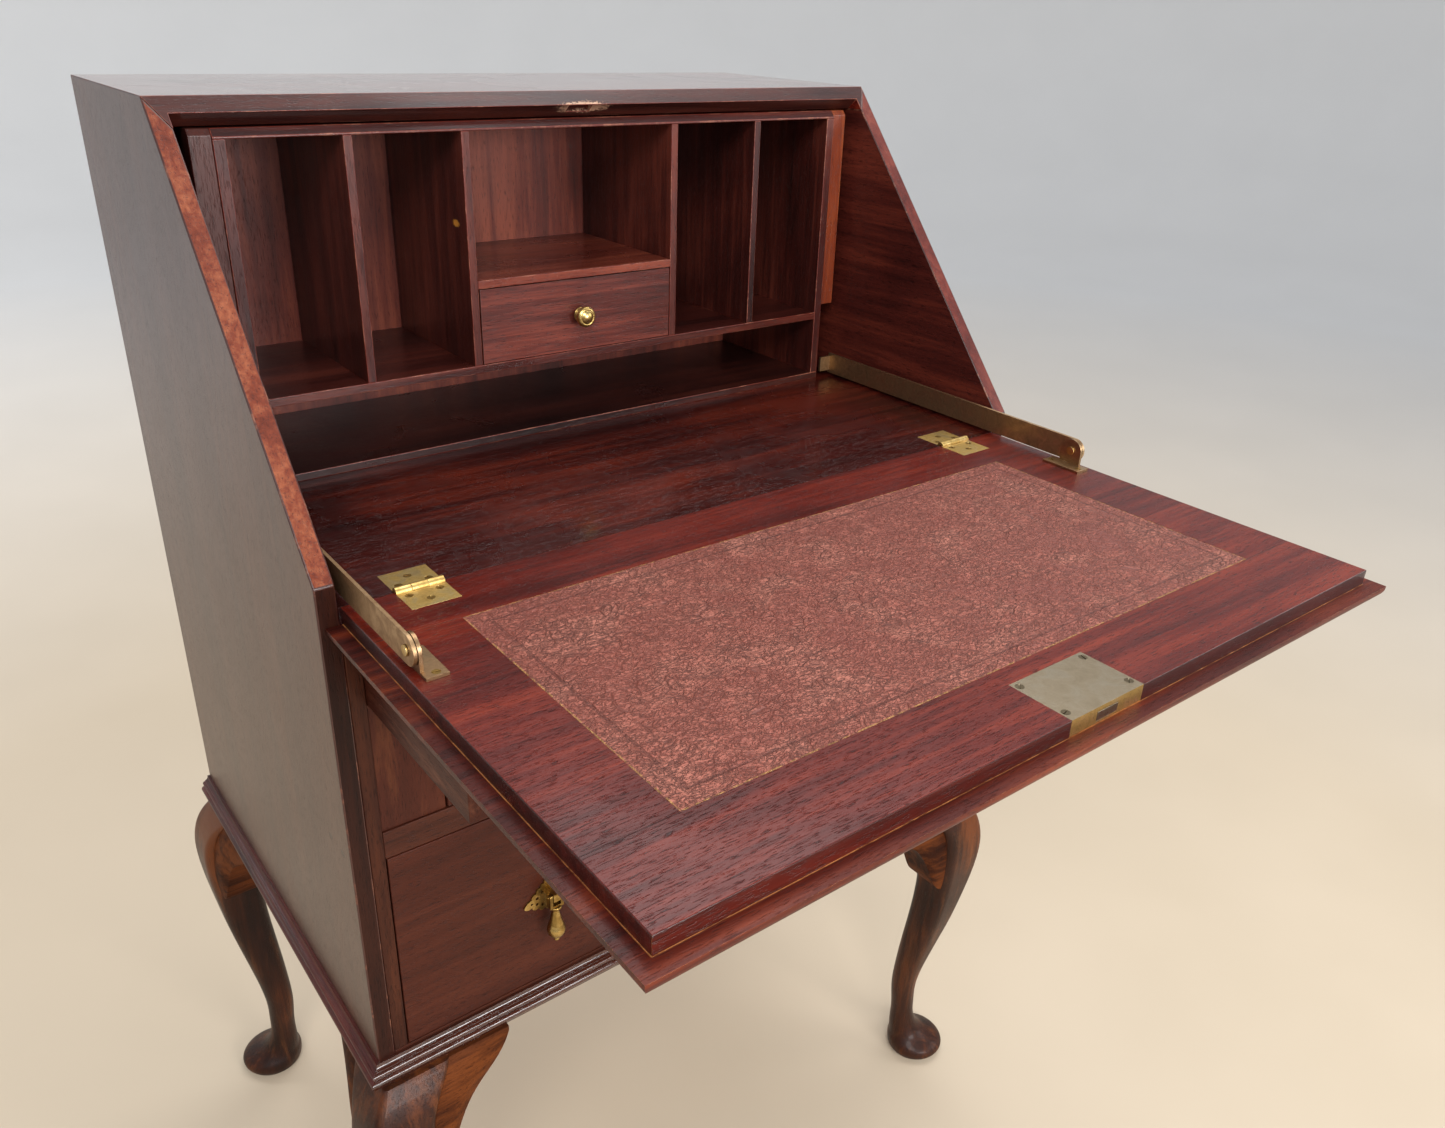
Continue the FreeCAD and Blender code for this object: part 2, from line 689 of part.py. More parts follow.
def leg_shape(out_x, out_y, x, y):
    """A cabriole leg. out_x and out_y are the signs of its outward directions, and x and y
    the middle of its foot."""
    top = SIZE["write_z"] - SIZE["case_drop"]
    wires = [rounded_square(x + out_x * offset, y + out_y * offset, top - drop, side, radius)
             for drop, offset, side, radius in LEG_SECTIONS]
    return Part.makeLoft(wires, True, False)


BRACKET_STATIONS = [
    (14.0, 108.0, 17.0),
    (34.0, 82.0, 15.0),
    (48.0, 52.0, 10.5),
    (62.0, 36.5, 6.5),
    (76.0, 26.4, 3.0),
    (86.0, 15.5, 1.0),
    (91.5, 4.0, 0.0),
]
BRACKET_THICK = 24.0
BRACKET_FACE = 8.0


def bracket_wire(along, depth, swell, face):
    """A section of a knee bracket at a distance along the rail: its outer face swells with
    the knee. The section's own x is outwards and its y is down."""
    inner = face - BRACKET_THICK
    outer = [Vector(face, along, 0), Vector(face + swell, along, -0.55 * depth),
             Vector(face + 0.8 * swell, along, -depth)]
    curve = Part.BSplineCurve()
    curve.interpolate(outer)
    return Part.Wire([
        Part.LineSegment(Vector(inner, along, 0), outer[0]).toShape(),
        curve.toShape(),
        Part.LineSegment(outer[2], Vector(inner, along, -depth)).toShape(),
        Part.LineSegment(Vector(inner, along, -depth), Vector(inner, along, 0)).toShape(),
    ])


def bracket_blank(out_x, out_y, x, y, along_x):
    """A knee bracket before it is fitted to its leg. It runs inwards from the leg along x,
    or along y."""
    wires = [bracket_wire(along, depth, swell, BRACKET_FACE)
             for along, depth, swell in BRACKET_STATIONS]
    blank = Part.makeLoft(wires, True, False)
    top = SIZE["write_z"] - SIZE["case_drop"]
    matrix = FreeCAD.Matrix()
    if along_x:
        matrix.A11, matrix.A12 = 0.0, -float(out_x)
        matrix.A21, matrix.A22 = float(out_y), 0.0
    else:
        matrix.A11, matrix.A12 = float(out_x), 0.0
        matrix.A21, matrix.A22 = 0.0, -float(out_y)
    matrix.A14, matrix.A24, matrix.A34 = x, y, top
    return blank.transformGeometry(matrix)


def make_legs():
    """Four legs, the brackets beside their knees, and the bores for their dowels."""
    brackets = []
    corners = {"front_left": (-1, -1), "front_right": (1, -1),
               "back_left": (-1, 1), "back_right": (1, 1)}
    for name, dowel_x, dowel_y in dowel_places():
        out_x, out_y = corners[name]
        x = out_x * SIZE["foot_x"]
        y = SIZE["front_y"] + (SIZE["foot_front"] if out_y < 0 else SIZE["foot_back"])
        solid = leg_shape(out_x, out_y, x, y)
        blanks = [bracket_blank(out_x, out_y, x, y, False)]
        if out_y < 0:
            blanks.append(bracket_blank(out_x, out_y, x, y, True))
        for blank in blanks:
            fitted = blank.cut(solid)
            brackets.append(max(fitted.Solids, key=lambda part: part.Volume))
        leg = doc.addObject("Part::Feature", "leg_" + name)
        leg.Label = "leg_" + name
        leg.Shape = solid.cut(dowel_shape(dowel_x, dowel_y, SIZE["dowel_r"]))
        piece(leg)
    joined = doc.addObject("Part::Feature", "knee_brackets")
    joined.Label = "knee_brackets"
    joined.Shape = Part.makeCompound(brackets)
    piece(joined)


# ---------------------------------------------------------------------------
# Pigeonhole unit
# ---------------------------------------------------------------------------

def make_unit_top():
    """The top of the unit, its front edge sloped off to clear the closed fall."""
    body = new_body("unit_top_board")
    side_view = new_sketch(body, "unit_top_section", "YZ_Plane")
    draw_polygon(side_view, [("unit_front", "unit_top - unit_board"),
                             ("unit_front + unit_deep", "unit_top - unit_board"),
                             ("unit_front + unit_deep", "unit_top"),
                             ("unit_front + unit_slant", "unit_top"),
                             ("unit_front", "unit_top - unit_slant - 0.9")])
    pad(body, side_view, "2*unit_half", both=True)
    body.Label = "unit_top"
    return piece(body)


def unit_corner():
    """What is sloped off the top front corner of the filler strips, in line with the top."""
    body = new_body("unit_corner")
    side_view = new_sketch(body, "unit_corner_section", "YZ_Plane")
    draw_polygon(side_view, [("unit_front", "unit_top - unit_slant - 0.9"),
                             ("unit_front + unit_slant", "unit_top"),
                             ("unit_front + unit_slant", "unit_top + 1"),
                             ("unit_front", "unit_top + 1")])
    pad(body, side_view, "2*filler_edge + 2", both=True)
    return body


def make_unit():
    """Shelves and dividers behind the fall, with a small drawer's bay in the middle."""
    back = "unit_front + unit_deep"
    front_to_back = ("unit_front", back)
    inside = "unit_half - unit_side"
    across = ("-unit_half + unit_side", inside)
    upper = ("shelf_low + unit_board", "unit_top - unit_board")
    piece(box("unit_base", ("-unit_half", "unit_half"), front_to_back, ("0", "unit_floor")))
    piece(box("unit_shelf", across, front_to_back, ("shelf_low", "shelf_low + unit_board")))
    make_unit_top()
    piece(box("unit_back", ("-unit_half", "unit_half"), (back, back + " + unit_back"),
              ("0", "unit_top")))
    piece(box("unit_centre_shelf", ("-inner_divider + unit_board/2", "inner_divider - unit_board/2"),
              front_to_back, ("shelf_z - unit_board", "shelf_z")))
    sides = []
    dividers = []
    fillers = []
    for hand in HANDS:
        word = side_word(hand)
        sides.append(box("unit_side_" + word, hand_range(hand, inside, "unit_half"),
                         front_to_back, ("unit_floor", "unit_top - unit_board")))
        for name, middle in (("outer", "outer_divider"), ("inner", "inner_divider")):
            dividers.append(box("divider_%s_%s" % (name, word),
                                hand_range(hand, middle + " - unit_board/2",
                                           middle + " + unit_board/2"),
                                front_to_back, upper))
        fillers.append(box("filler_" + word, hand_range(hand, "unit_half", "filler_edge"),
                           ("unit_front + 1", "unit_front + 1 + filler_deep"),
                           ("filler_low", "unit_top")))
    piece(group("unit_sides", sides))
    piece(group("unit_dividers", dividers))
    piece(cut("filler_strips", group("filler_blanks", fillers), [unit_corner()]))


# ---------------------------------------------------------------------------
# Drawers and their fittings
# ---------------------------------------------------------------------------

def drawer_box(label, half, front, back, low, high, thick, base):
    """Two sides, a back and a bottom behind a drawer front."""
    inner = half + " - " + thick
    left = (negated(half), negated(inner))
    right = (inner, half)
    between = (negated(inner), inner)
    length = (front, back)
    floor = low + " + 5"
    parts = [
        box(label + "_side_left", left, length, (low, high)),
        box(label + "_side_right", right, length, (low, high)),
        box(label + "_back", between, (back + " - " + thick, back), (floor, high + " - 6")),
        box(label + "_bottom", between, (front, back + " - " + thick), (floor, floor + " + " + base)),
    ]
    return piece(group(label + "_box", parts))


def make_drawers():
    """The two drawers of the case."""
    piece(box("lower_drawer_front", ("-stile_in + drawer_gap", "stile_in - drawer_gap"),
              ("0", "front_thick"), ("-floor_top + drawer_gap", "-rail_low - drawer_gap")))
    drawer_box("lower_drawer", "stile_in - 2", "front_thick", "inner_depth - 18",
               "-floor_top + play", "-rail_low - 16", "lining", "drawer_base")
    piece(box("upper_drawer_front", ("-bay_half + drawer_gap", "bay_half - drawer_gap"),
              ("0", "front_thick"), ("-rail_top + drawer_gap", "-board_thick - drawer_gap")))
    drawer_box("upper_drawer", "bay_half - 2", "front_thick", "inner_depth - 18",
               "-rail_top + play", "-board_thick - 14", "lining", "drawer_base")


def make_small_drawer():
    """The small drawer under the centre shelf, with its turned knob."""
    half = "inner_divider - unit_board/2"
    floor = "shelf_low + unit_board"
    front = box("inner_drawer_blank", ("-inner_divider + unit_board/2 + drawer_gap",
                                       half + " - drawer_gap"),
                ("unit_front", "unit_front + tray_front"),
                (floor + " + play + 0.3", "shelf_z - unit_board - play - 0.3"))
    bore = cylinder("inner_drawer_bore", "rivet_r", "tray_front + 2", "0", "unit_front - 1",
                    "knob_z", along="y")
    piece(cut("inner_drawer_front", front, [bore]))
    drawer_box("inner_drawer", half + " - 1.2", "unit_front + tray_front",
               "unit_front + unit_deep - 10", floor + " + play", "shelf_z - unit_board - 5",
               "tray_lining", "3")

    knob = new_body("inner_drawer_knob", y="unit_front", z="knob_z")
    turning = new_sketch(knob, "knob_turning", "XY_Plane")
    ball = SIZE["knob_r"]
    stem = SIZE["rivet_r"]
    draw_run(turning, [
        line((0, SIZE["tray_front"]), (stem, SIZE["tray_front"])),
        line((stem, SIZE["tray_front"]), (stem, 0)),
        line((stem, 0), (5.6, 0)),
        arc((5.6, 0), (6.1, -0.7), (5.4, -1.4)),
        arc((5.4, -1.4), (3.7, -2.6), (3.5, -4.4)),
        arc((3.5, -4.4), (4.2, -5.4), (5.6, -5.8)),
        arc((5.6, -5.8), (ball, -8.8), (6.3, -11.8)),
        line((6.3, -11.8), (5.4, -11.6)),
        dome(5.4, -11.6, -14.0),
        line((0, -14.0), (0, SIZE["tray_front"])),
    ])
    revolve(knob, turning)
    return piece(knob)


def plate_outline():
    """Scalloped edge of a pull's back plate: each lobe is an arc between two cusps. The
    second half mirrors the first."""
    lobes = [
        ((0.0, 9.8), (2.7, 8.2), (2.6, 5.0)),
        ((2.6, 5.0), (5.4, 5.0), (6.0, 2.2)),
        ((6.0, 2.2), (9.2, 1.6), (9.8, -1.6)),
        ((9.8, -1.6), (13.2, -2.6), (14.0, -5.8)),
        ((14.0, -5.8), (18.2, -7.8), (20.8, -11.2)),
        ((20.8, -11.2), (17.4, -13.6), (14.0, -12.6)),
        ((14.0, -12.6), (12.0, -16.2), (8.2, -15.2)),
        ((8.2, -15.2), (6.4, -18.6), (3.0, -17.4)),
        ((3.0, -17.4), (1.8, -19.6), (0.0, -20.4)),
    ]
    right = [arc(*lobe) for lobe in lobes]
    left = [arc(*[(-u, v) for u, v in reversed(lobe)]) for lobe in reversed(lobes)]
    return right + left


PIERCINGS = [(5.0, -1.6, 1.1), (9.4, -6.0, 1.3), (14.2, -9.6, 1.0), (9.8, -11.4, 1.2),
             (5.2, -13.6, 1.1)]


def make_pull(name, x, z):
    """A pull's back plate and post with its pin, and the drop that hangs from the pin."""
    plate = new_body(name + "_plate", x=x, z=z)
    outline = new_sketch(plate, name + "_outline", "XZ_Plane")
    draw_run(outline, plate_outline())
    for u, v, radius in PIERCINGS:
        for hand in HANDS:
            hole = Part.Circle(Vector(hand * u, v, 0), Vector(0, 0, 1), radius)
            outline.addGeometry(hole, False)
    outline.addGeometry(Part.Circle(Vector(0, 6.9, 0), Vector(0, 0, 1), 1.1), False)
    pad(plate, outline, "pull_plate")
    post = new_sketch(plate, name + "_post", "XZ_Plane")
    draw_rectangle(post, ("-2.9", "2.9"), ("-3.4", "3.4"))
    pad(plate, post, "pull_out + 3.4")
    pin = new_sketch(plate, name + "_pin", "YZ_Plane")
    draw_circle(pin, ("-pull_out", "0"), "pivot_r")
    pad(plate, pin, "12.6", both=True)

    drop = new_body(name + "_drop", x=x, y="-pull_out", z=z)
    turning = new_sketch(drop, name + "_turning", "XZ_Plane")
    wide = SIZE["drop_r"]
    low = -SIZE["drop_long"]
    draw_run(turning, [
        line((0, -9.0), (4.4, -9.0)),
        arc((4.4, -9.0), (5.1, -10.2), (4.2, -11.4)),
        arc((4.2, -11.4), (2.9, -13.2), (3.0, -15.6)),
        arc((3.0, -15.6), (4.6, -22.4), (wide - 0.4, -29.4)),
        arc((wide - 0.4, -29.4), (6.2, -36.2), (1.6, low + 3.8)),
        arc((1.6, low + 3.8), (2.3, low + 2.2), (1.5, low + 0.5)),
        line((1.5, low + 0.5), (0, low)),
        line((0, low), (0, -9.0)),
    ])
    revolve(drop, turning)
    fork = new_sketch(drop, name + "_fork", "XZ_Plane")
    for hand in HANDS:
        draw_rectangle(fork, hand_range(hand, "3.3", "5.7"), ("-9.6", "2.9"))
    pad(drop, fork, "5.8", both=True)
    bridge = new_sketch(drop, name + "_bridge", "XZ_Plane")
    draw_rectangle(bridge, ("-5.7", "5.7"), ("-9.6", "-7.4"))
    pad(drop, bridge, "5.8", both=True)
    eye = new_sketch(drop, name + "_eye", "YZ_Plane")
    draw_circle(eye, ("0", "0"), "pivot_r + 0.05")
    pocket(drop, eye)
    doc.recompute()
    round_edges(drop, drop.Tip, 2.2,
                lambda edge, middle: abs(middle.z - 2.9) < 0.01 and abs(abs(middle.y) - 2.9) < 0.01)
    return plate, piece(drop)


def make_pulls():
    """Two pulls on each drawer of the case."""
    for name, x, z in (("upper", "pull_x_up", "-pull_z_up"), ("lower", "pull_x_low", "-pull_z_low")):
        plates = []
        for hand in HANDS:
            where = x if hand > 0 else "-" + x
            plate, drop = make_pull("%s_pull_%s" % (name, side_word(hand)), where, z)
            plates.append(plate)
        piece(group(name + "_pull_plates", plates))


def make_lopers():
    """The two bearers that slide out of the case to carry the open fall."""
    for hand in HANDS:
        top = "-board_thick - play"
        piece(box("loper_" + side_word(hand), hand_range(hand, "loper_in", "loper_in + loper_thick"),
                  ("-loper_out", "-loper_out + loper_long"), (top + " - loper_deep", top)))


# ---------------------------------------------------------------------------
# Fall
# ---------------------------------------------------------------------------

KEY_BACK = 22.0
KEY_R = 2.6


def draw_keyhole(sketch, grow):
    """A keyhole under the lock, widened all round by grow."""
    middle = "-raised_y + %.1f" % KEY_BACK
    draw_circle(sketch, ("lock_x", middle), "%.2f" % (KEY_R + grow))
    return middle


def make_fall():
    """The fall: a raised field that fills the opening and a lip that closes on its edges,
    with recesses for the leather, the lock, the hinges and the keyhole plate."""
    body = new_body("fall_plank")
    lip = new_sketch(body, "fall_lip", "XY_Plane")
    draw_rectangle(lip, ("-lip_half", "lip_half"), ("-lip_y", "-1"))
    offset(lip, "-board_thick")
    under = pad(body, lip, "board_thick - raised_thick")
    low = -SIZE["board_thick"]
    under = round_edges(body, under, SIZE["lip_round"],
                        lambda edge, middle: abs(middle.z - low) < 0.01 and middle.y < -1.5)
    body.Tip = under
    doc.recompute()
    field = new_sketch(body, "fall_field", "XY_Plane")
    draw_rectangle(field, ("-raised_half", "raised_half"), ("-raised_y", "hinge_in - play"))
    raised = pad(body, field, "raised_thick + 1", back=True)
    raised = round_edges(body, raised, 0.8, lambda edge, middle: abs(middle.z) < 0.01
                         and (middle.y < -SIZE["raised_y"] + 1 or abs(middle.x) > SIZE["raised_half"] - 1),
                         name="field_edge")
    body.Tip = raised
    leather = new_sketch(body, "leather_recess", "XY_Plane")
    draw_rectangle(leather, ("-leather_half", "leather_half"), ("-leather_front", "-leather_back"))
    pocket(body, leather, "leather_thick")
    cut_hinge_recesses(body, "fall", -1)

    plate = new_sketch(body, "lock_plate_recess", "XY_Plane")
    across = ("lock_x - lock_half", "lock_x + lock_half")
    draw_rectangle(plate, across, ("-raised_y - 1", "-raised_y + lock_deep"))
    pocket(body, plate, "lock_plate")
    case = new_sketch(body, "lock_case_recess", "XY_Plane")
    draw_rectangle(case, ("lock_x - 24.6", "lock_x + 24.6"), ("-raised_y - 1", "-raised_y + 36"))
    pocket(body, case, "9.9")
    selvedge = new_sketch(body, "lock_selvedge_recess", "XY_Plane")
    draw_rectangle(selvedge, across, ("-raised_y - 1", "-raised_y + 2"))
    pocket(body, selvedge, "raised_thick")
    keyhole = new_sketch(body, "fall_keyhole", "XY_Plane")
    middle = draw_keyhole(keyhole, 0.4)
    pocket(body, keyhole)
    plate_seat = new_sketch(body, "key_plate_recess", "XY_Plane")
    offset(plate_seat, "-board_thick")
    draw_circle(plate_seat, ("lock_x", middle), "9")
    pocket(body, plate_seat, "1.2", back=True)
    doc.recompute()
    spots = [spot for hand in HANDS for spot in hinge_screw_places(hand, -1)]
    screwed = drilled("fall_plank_screwed", body, spots + lock_screw_places())
    piece(drilled("fall_panel", screwed, bracket_screw_places(), FOOT_PLATE))

    inset = new_body("leather_inset")
    hide = new_sketch(inset, "leather_plan", "XY_Plane")
    draw_rectangle(hide, ("-leather_half", "leather_half"), ("-leather_front", "-leather_back"))
    pad(inset, hide, "leather_thick", back=True)
    piece(inset)

    key_plate = new_body("escutcheon", z="-board_thick")
    disc = new_sketch(key_plate, "key_plate_plan", "XY_Plane")
    draw_circle(disc, ("lock_x", middle), "9")
    pad(key_plate, disc, "1.2")
    slot = new_sketch(key_plate, "key_plate_hole", "XY_Plane")
    draw_keyhole(slot, 0.0)
    pocket(key_plate, slot)
    piece(key_plate)


def make_lock():
    """The lock: plate and selvedge over a case, with a sliding bolt."""
    across = ("lock_x - lock_half", "lock_x + lock_half")
    low = "-raised_thick + 0.35"
    front = "-raised_y"
    plate = box("lock_plate_sheet", across, (front, front + " + lock_deep"), ("-lock_plate", "0"))
    selvedge = box("lock_selvedge", across, (front, front + " + 2"), (low, "0"))
    case = box("lock_case_block", ("lock_x - 24.5", "lock_x + 24.5"), (front, front + " + 35.9"),
               ("-9.8", "-lock_plate"))
    bolt_top = "-3.2"
    bolt_low = bolt_top + " - bolt_thick"
    tunnel = box("lock_tunnel", ("lock_x - bolt_half - 0.15", "lock_x + bolt_half + 0.15"),
                 (front + " - 1", front + " + 27"), (bolt_low + " - 0.15", bolt_top + " + 0.15"))
    key = cylinder("lock_key_bore", "%.1f" % KEY_R, "3", "lock_x", front + " + %.1f" % KEY_BACK,
                   "-10.5")
    whole = fuse("lock_case_solid", [plate, selvedge, case])
    bored = cut("lock_case_bored", whole, [tunnel, key])
    piece(drilled("lock_case", bored, lock_screw_places()))
    piece(box("lock_bolt", ("lock_x - bolt_half", "lock_x + bolt_half"),
              (front + " - 0.2", front + " + 16"), (bolt_low, bolt_top)))


SCREW_SINK = 1.3
SCREW_LONG = 8.0


def screw_blank(x, y, top):
    """A countersunk screw standing down from a level face at a height above the writing
    surface, and the hole that it fills."""
    radius = SIZE["screw_r"]
    at = Vector(x, SIZE["front_y"] + y, SIZE["write_z"] + top)
    head = Part.makeCone(radius * 0.5, radius, SCREW_SINK, at - Vector(0, 0, SCREW_SINK))
    low = at - Vector(0, 0, SCREW_SINK + SCREW_LONG)
    return head.fuse(Part.makeCylinder(radius * 0.5, SCREW_LONG, low)).removeSplitter()


def screw_shape(x, y, top):
    """The same with a slot across its head."""
    radius = SIZE["screw_r"]
    at = Vector(x, SIZE["front_y"] + y, SIZE["write_z"] + top)
    slot = Part.makeBox(2.4 * radius, 0.7, 0.6, at - Vector(1.2 * radius, 0.35, 0.6))
    slot.rotate(at, Vector(0, 0, 1), (x * 7.0 + y * 13.0) % 180.0)
    return screw_blank(x, y, top).cut(slot)


def hinge_screw_places(hand, way):
    """Three screws in a leaf: two by the knuckle and one further out."""
    spots = [(-10.0, 8.0), (10.0, 8.0), (0.0, 17.5)]
    return [(hand * SIZE["hinge_x"] + u, SIZE["hinge_in"] + way * v) for u, v in spots]


def lock_screw_places():
    front = -SIZE["raised_y"]
    return [(SIZE["lock_x"] + hand * 27.8, front + back) for hand in HANDS for back in (7.0, 37.5)]


def bracket_screw_places():
    return [(hand * 276.4, -SIZE["stay_pivot_y"] + along) for hand in HANDS
            for along in (-13.0, 13.0)]


def feature(label, shape):
    thing = doc.addObject("Part::Feature", label)
    thing.Label = label
    thing.Shape = shape
    return thing


def drilled(label, solid, places, top=0.0):
    """A piece with holes that its screws fill."""
    holes = feature(label + "_screw_holes", Part.makeCompound(
        [screw_blank(x, y, top) for x, y in places]))
    return cut(label, solid, [holes])


def make_hinge_leaf(hand, way):
    """A hinge leaf with its knuckles: the leaf behind the line has the middle knuckle, and
    the leaf in front has the two outer ones."""
    name = "leaf_%s_%s" % (side_word(hand), "case" if way > 0 else "fall")
    start = "hinge_x" if hand > 0 else "-hinge_x"
    gap = "0.1"
    third = "hinge_long/6"
    if way > 0:
        spans = [("-" + third + " + " + gap, third + " - " + gap)]
        y_leaf = ("hinge_in + knuckle_r + play", "hinge_in + leaf_wide")
        y_neck = ("hinge_in", "hinge_in + knuckle_r + play")
        bore = "pin_r"
    else:
        spans = [("-hinge_long/2", "-" + third + " - " + gap), (third + " + " + gap, "hinge_long/2")]
        y_leaf = ("hinge_in - leaf_wide", "hinge_in - knuckle_r - play")
        y_neck = ("hinge_in - knuckle_r - play", "hinge_in")
        bore = "pin_r + 0.05"
    parts = [box(name + "_plate", (start + " - hinge_long/2", start + " + hinge_long/2"), y_leaf,
                 ("-leaf_thick", "0"))]
    for number, (low, high) in enumerate(spans):
        low = start + (low if low.startswith("-") else " + " + low)
        high = start + (high if high.startswith("-") else " + " + high)
        parts.append(box("%s_neck_%d" % (name, number), (low, high), y_neck, ("-leaf_thick", "0")))
        parts.append(cylinder("%s_knuckle_%d" % (name, number), "knuckle_r",
                              high + negated_tail(low), low, "hinge_in", "0", along="x"))
    solid = fuse(name + "_solid", parts)
    hole = cylinder(name + "_bore", bore, "hinge_long + 2", start + " - hinge_long/2 - 1",
                    "hinge_in", "0", along="x")
    bored = cut(name + "_bored", solid, [hole])
    return drilled(name, bored, hinge_screw_places(hand, way))


def negated_tail(text):
    """A sum to append to another so that it is taken away."""
    turned = negated(text)
    return turned if turned.startswith("-") else "+" + turned


def make_hinges():
    """Two butt hinges let into the writing surface."""
    case_leaves = []
    fall_leaves = []
    pins = []
    for hand in HANDS:
        case_leaves.append(make_hinge_leaf(hand, 1))
        fall_leaves.append(make_hinge_leaf(hand, -1))
        start = "hinge_x" if hand > 0 else "-hinge_x"
        pins.append(cylinder("hinge_pin_" + side_word(hand), "pin_r", "hinge_long",
                             start + " - hinge_long/2", "hinge_in", "0", along="x"))
    piece(group("hinge_case_leaves", case_leaves))
    piece(group("hinge_fall_leaves", fall_leaves))
    piece(group("hinge_pins", pins))


def make_screws():
    """Slotted brass and steel screws, in groups by the piece they hold."""
    back = [screw_shape(x, y, 0.0) for hand in HANDS for x, y in hinge_screw_places(hand, 1)]
    piece(feature("hinge_case_screws", Part.makeCompound(back)))
    front = [screw_shape(x, y, 0.0) for hand in HANDS for x, y in hinge_screw_places(hand, -1)]
    front += [screw_shape(x, y, FOOT_PLATE) for x, y in bracket_screw_places()]
    piece(feature("fall_screws", Part.makeCompound(front)))
    lock = [screw_shape(x, y, 0.0) for x, y in lock_screw_places()]
    piece(feature("lock_screws", Part.makeCompound(lock)))


FOOT_PLATE = 2.0


def make_stays():
    """Two stays: a bar on each side, riveted to a bracket on the fall."""
    brackets = []
    rivets = []
    for hand in HANDS:
        word = side_word(hand)
        pivot_y = "-stay_pivot_y"
        foot = box("stay_foot_" + word, hand_range(hand, "stay_x - 13.9", "stay_x - 0.4"),
                   (pivot_y + " - 17.2", pivot_y + " + 17.2"), ("0", "2"))
        upright = box("stay_upright_" + word, hand_range(hand, "stay_x - 2.6", "stay_x - 0.4"),
                      (pivot_y + " - stay_high/2", pivot_y + " + stay_high/2"),
                      ("0", "stay_pivot_z"))
        inner_face = "stay_x - 2.6" if hand > 0 else "-stay_x + 0.4"
        ear = cylinder("stay_ear_" + word, "stay_high/2", "2.2", inner_face, pivot_y,
                       "stay_pivot_z", along="x")
        solid = fuse("stay_bracket_solid_" + word, [foot, upright, ear])
        start = "stay_x - 5" if hand > 0 else "-stay_x - 5"
        hole = cylinder("stay_bracket_bore_" + word, "rivet_r", "10", start, pivot_y,
                        "stay_pivot_z", along="x")
        bored = cut("stay_bracket_bored_" + word, solid, [hole])
        spots = [(x, y) for x, y in bracket_screw_places() if x * hand > 0]
        brackets.append(drilled("stay_bracket_" + word, bored, spots, FOOT_PLATE))

        shank = cylinder("rivet_shank_" + word, "rivet_r", "stay_thick + 3.4",
                         "stay_x - 2.8" if hand > 0 else "-stay_x - stay_thick - 0.6",
                         pivot_y, "stay_pivot_z", along="x")
        outer = cylinder("rivet_outer_" + word, "rivet_r + 1.4", "1.2",
                         "stay_x + stay_thick + 0.2" if hand > 0 else "-stay_x - stay_thick - 1.4",
                         pivot_y, "stay_pivot_z", along="x")
        inner = cylinder("rivet_inner_" + word, "rivet_r + 1.4", "1.2",
                         "stay_x - 3.8" if hand > 0 else "-stay_x + 2.6",
                         pivot_y, "stay_pivot_z", along="x")
        rivets.append(fuse("rivet_" + word, [shank, outer, inner]))

        bar = new_body("stay_bar_" + word, x="stay_x" if hand > 0 else "-stay_x - stay_thick",
                       y=pivot_y, z="stay_pivot_z")
        side_view = new_sketch(bar, "stay_side_" + word, "YZ_Plane")
        draw_rectangle(side_view, ("0", "stay_end_y + stay_pivot_y"),
                       ("-stay_high/2", "stay_high/2"))
        pad(bar, side_view, "stay_thick")
        nose = new_sketch(bar, "stay_nose_" + word, "YZ_Plane")
        draw_circle(nose, ("0", "0"), "stay_high/2")
        pad(bar, nose, "stay_thick")
        tab = new_sketch(bar, "stay_tab_" + word, "YZ_Plane")
        draw_rectangle(tab, ("stay_end_y + stay_pivot_y - stay_thick", "stay_end_y + stay_pivot_y"),
                       ("-7", "7"))
        bend = pad(bar, tab, "12", back=hand > 0)
        if hand < 0:
            bind(bend, Length="12 + stay_thick")
        eye = new_sketch(bar, "stay_eye_" + word, "YZ_Plane")
        draw_circle(eye, ("0", "0"), "rivet_r + 0.05")
        pocket(bar, eye)
        piece(bar)
    piece(group("stay_brackets", brackets))
    piece(group("stay_rivets", rivets))


# ---------------------------------------------------------------------------
# Build, check and write
# ---------------------------------------------------------------------------

def check_document():
    """Stops if any object of the document failed, or a sub-part has no sound shape."""
    for thing in doc.Objects:
        if "Invalid" in thing.State or "Error" in thing.State:
            raise RuntimeError("%s failed: %s" % (thing.Label, thing.State))
    labels = [thing.Label for thing in NODES]
    if len(set(labels)) != len(labels) or len(labels) > 60:
        raise RuntimeError("labels repeat, or there are too many sub-parts")
    for thing in NODES:
        if thing.Shape.isNull() or not thing.Shape.isValid() or not thing.Shape.Solids:
            raise RuntimeError("%s has no sound shape" % thing.Label)


def write_parts():
    os.makedirs("parts", exist_ok=True)
    for thing in NODES:
        thing.Shape.exportStep("parts/%s.step" % thing.Label)


for hand in HANDS:
    make_side(hand)
make_top()
make_case_boards()
make_bottom()
make_writing_board()
make_mouldings()
make_legs()
make_unit()
make_drawers()
make_small_drawer()
make_pulls()
make_lopers()
make_fall()
make_lock()
make_hinges()
make_screws()
make_stays()
doc.recompute()
check_document()
write_parts()
print("%d sub-parts" % len(NODES))
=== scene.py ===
import json
import math

import bmesh
import bpy
from mathutils import Matrix, Vector

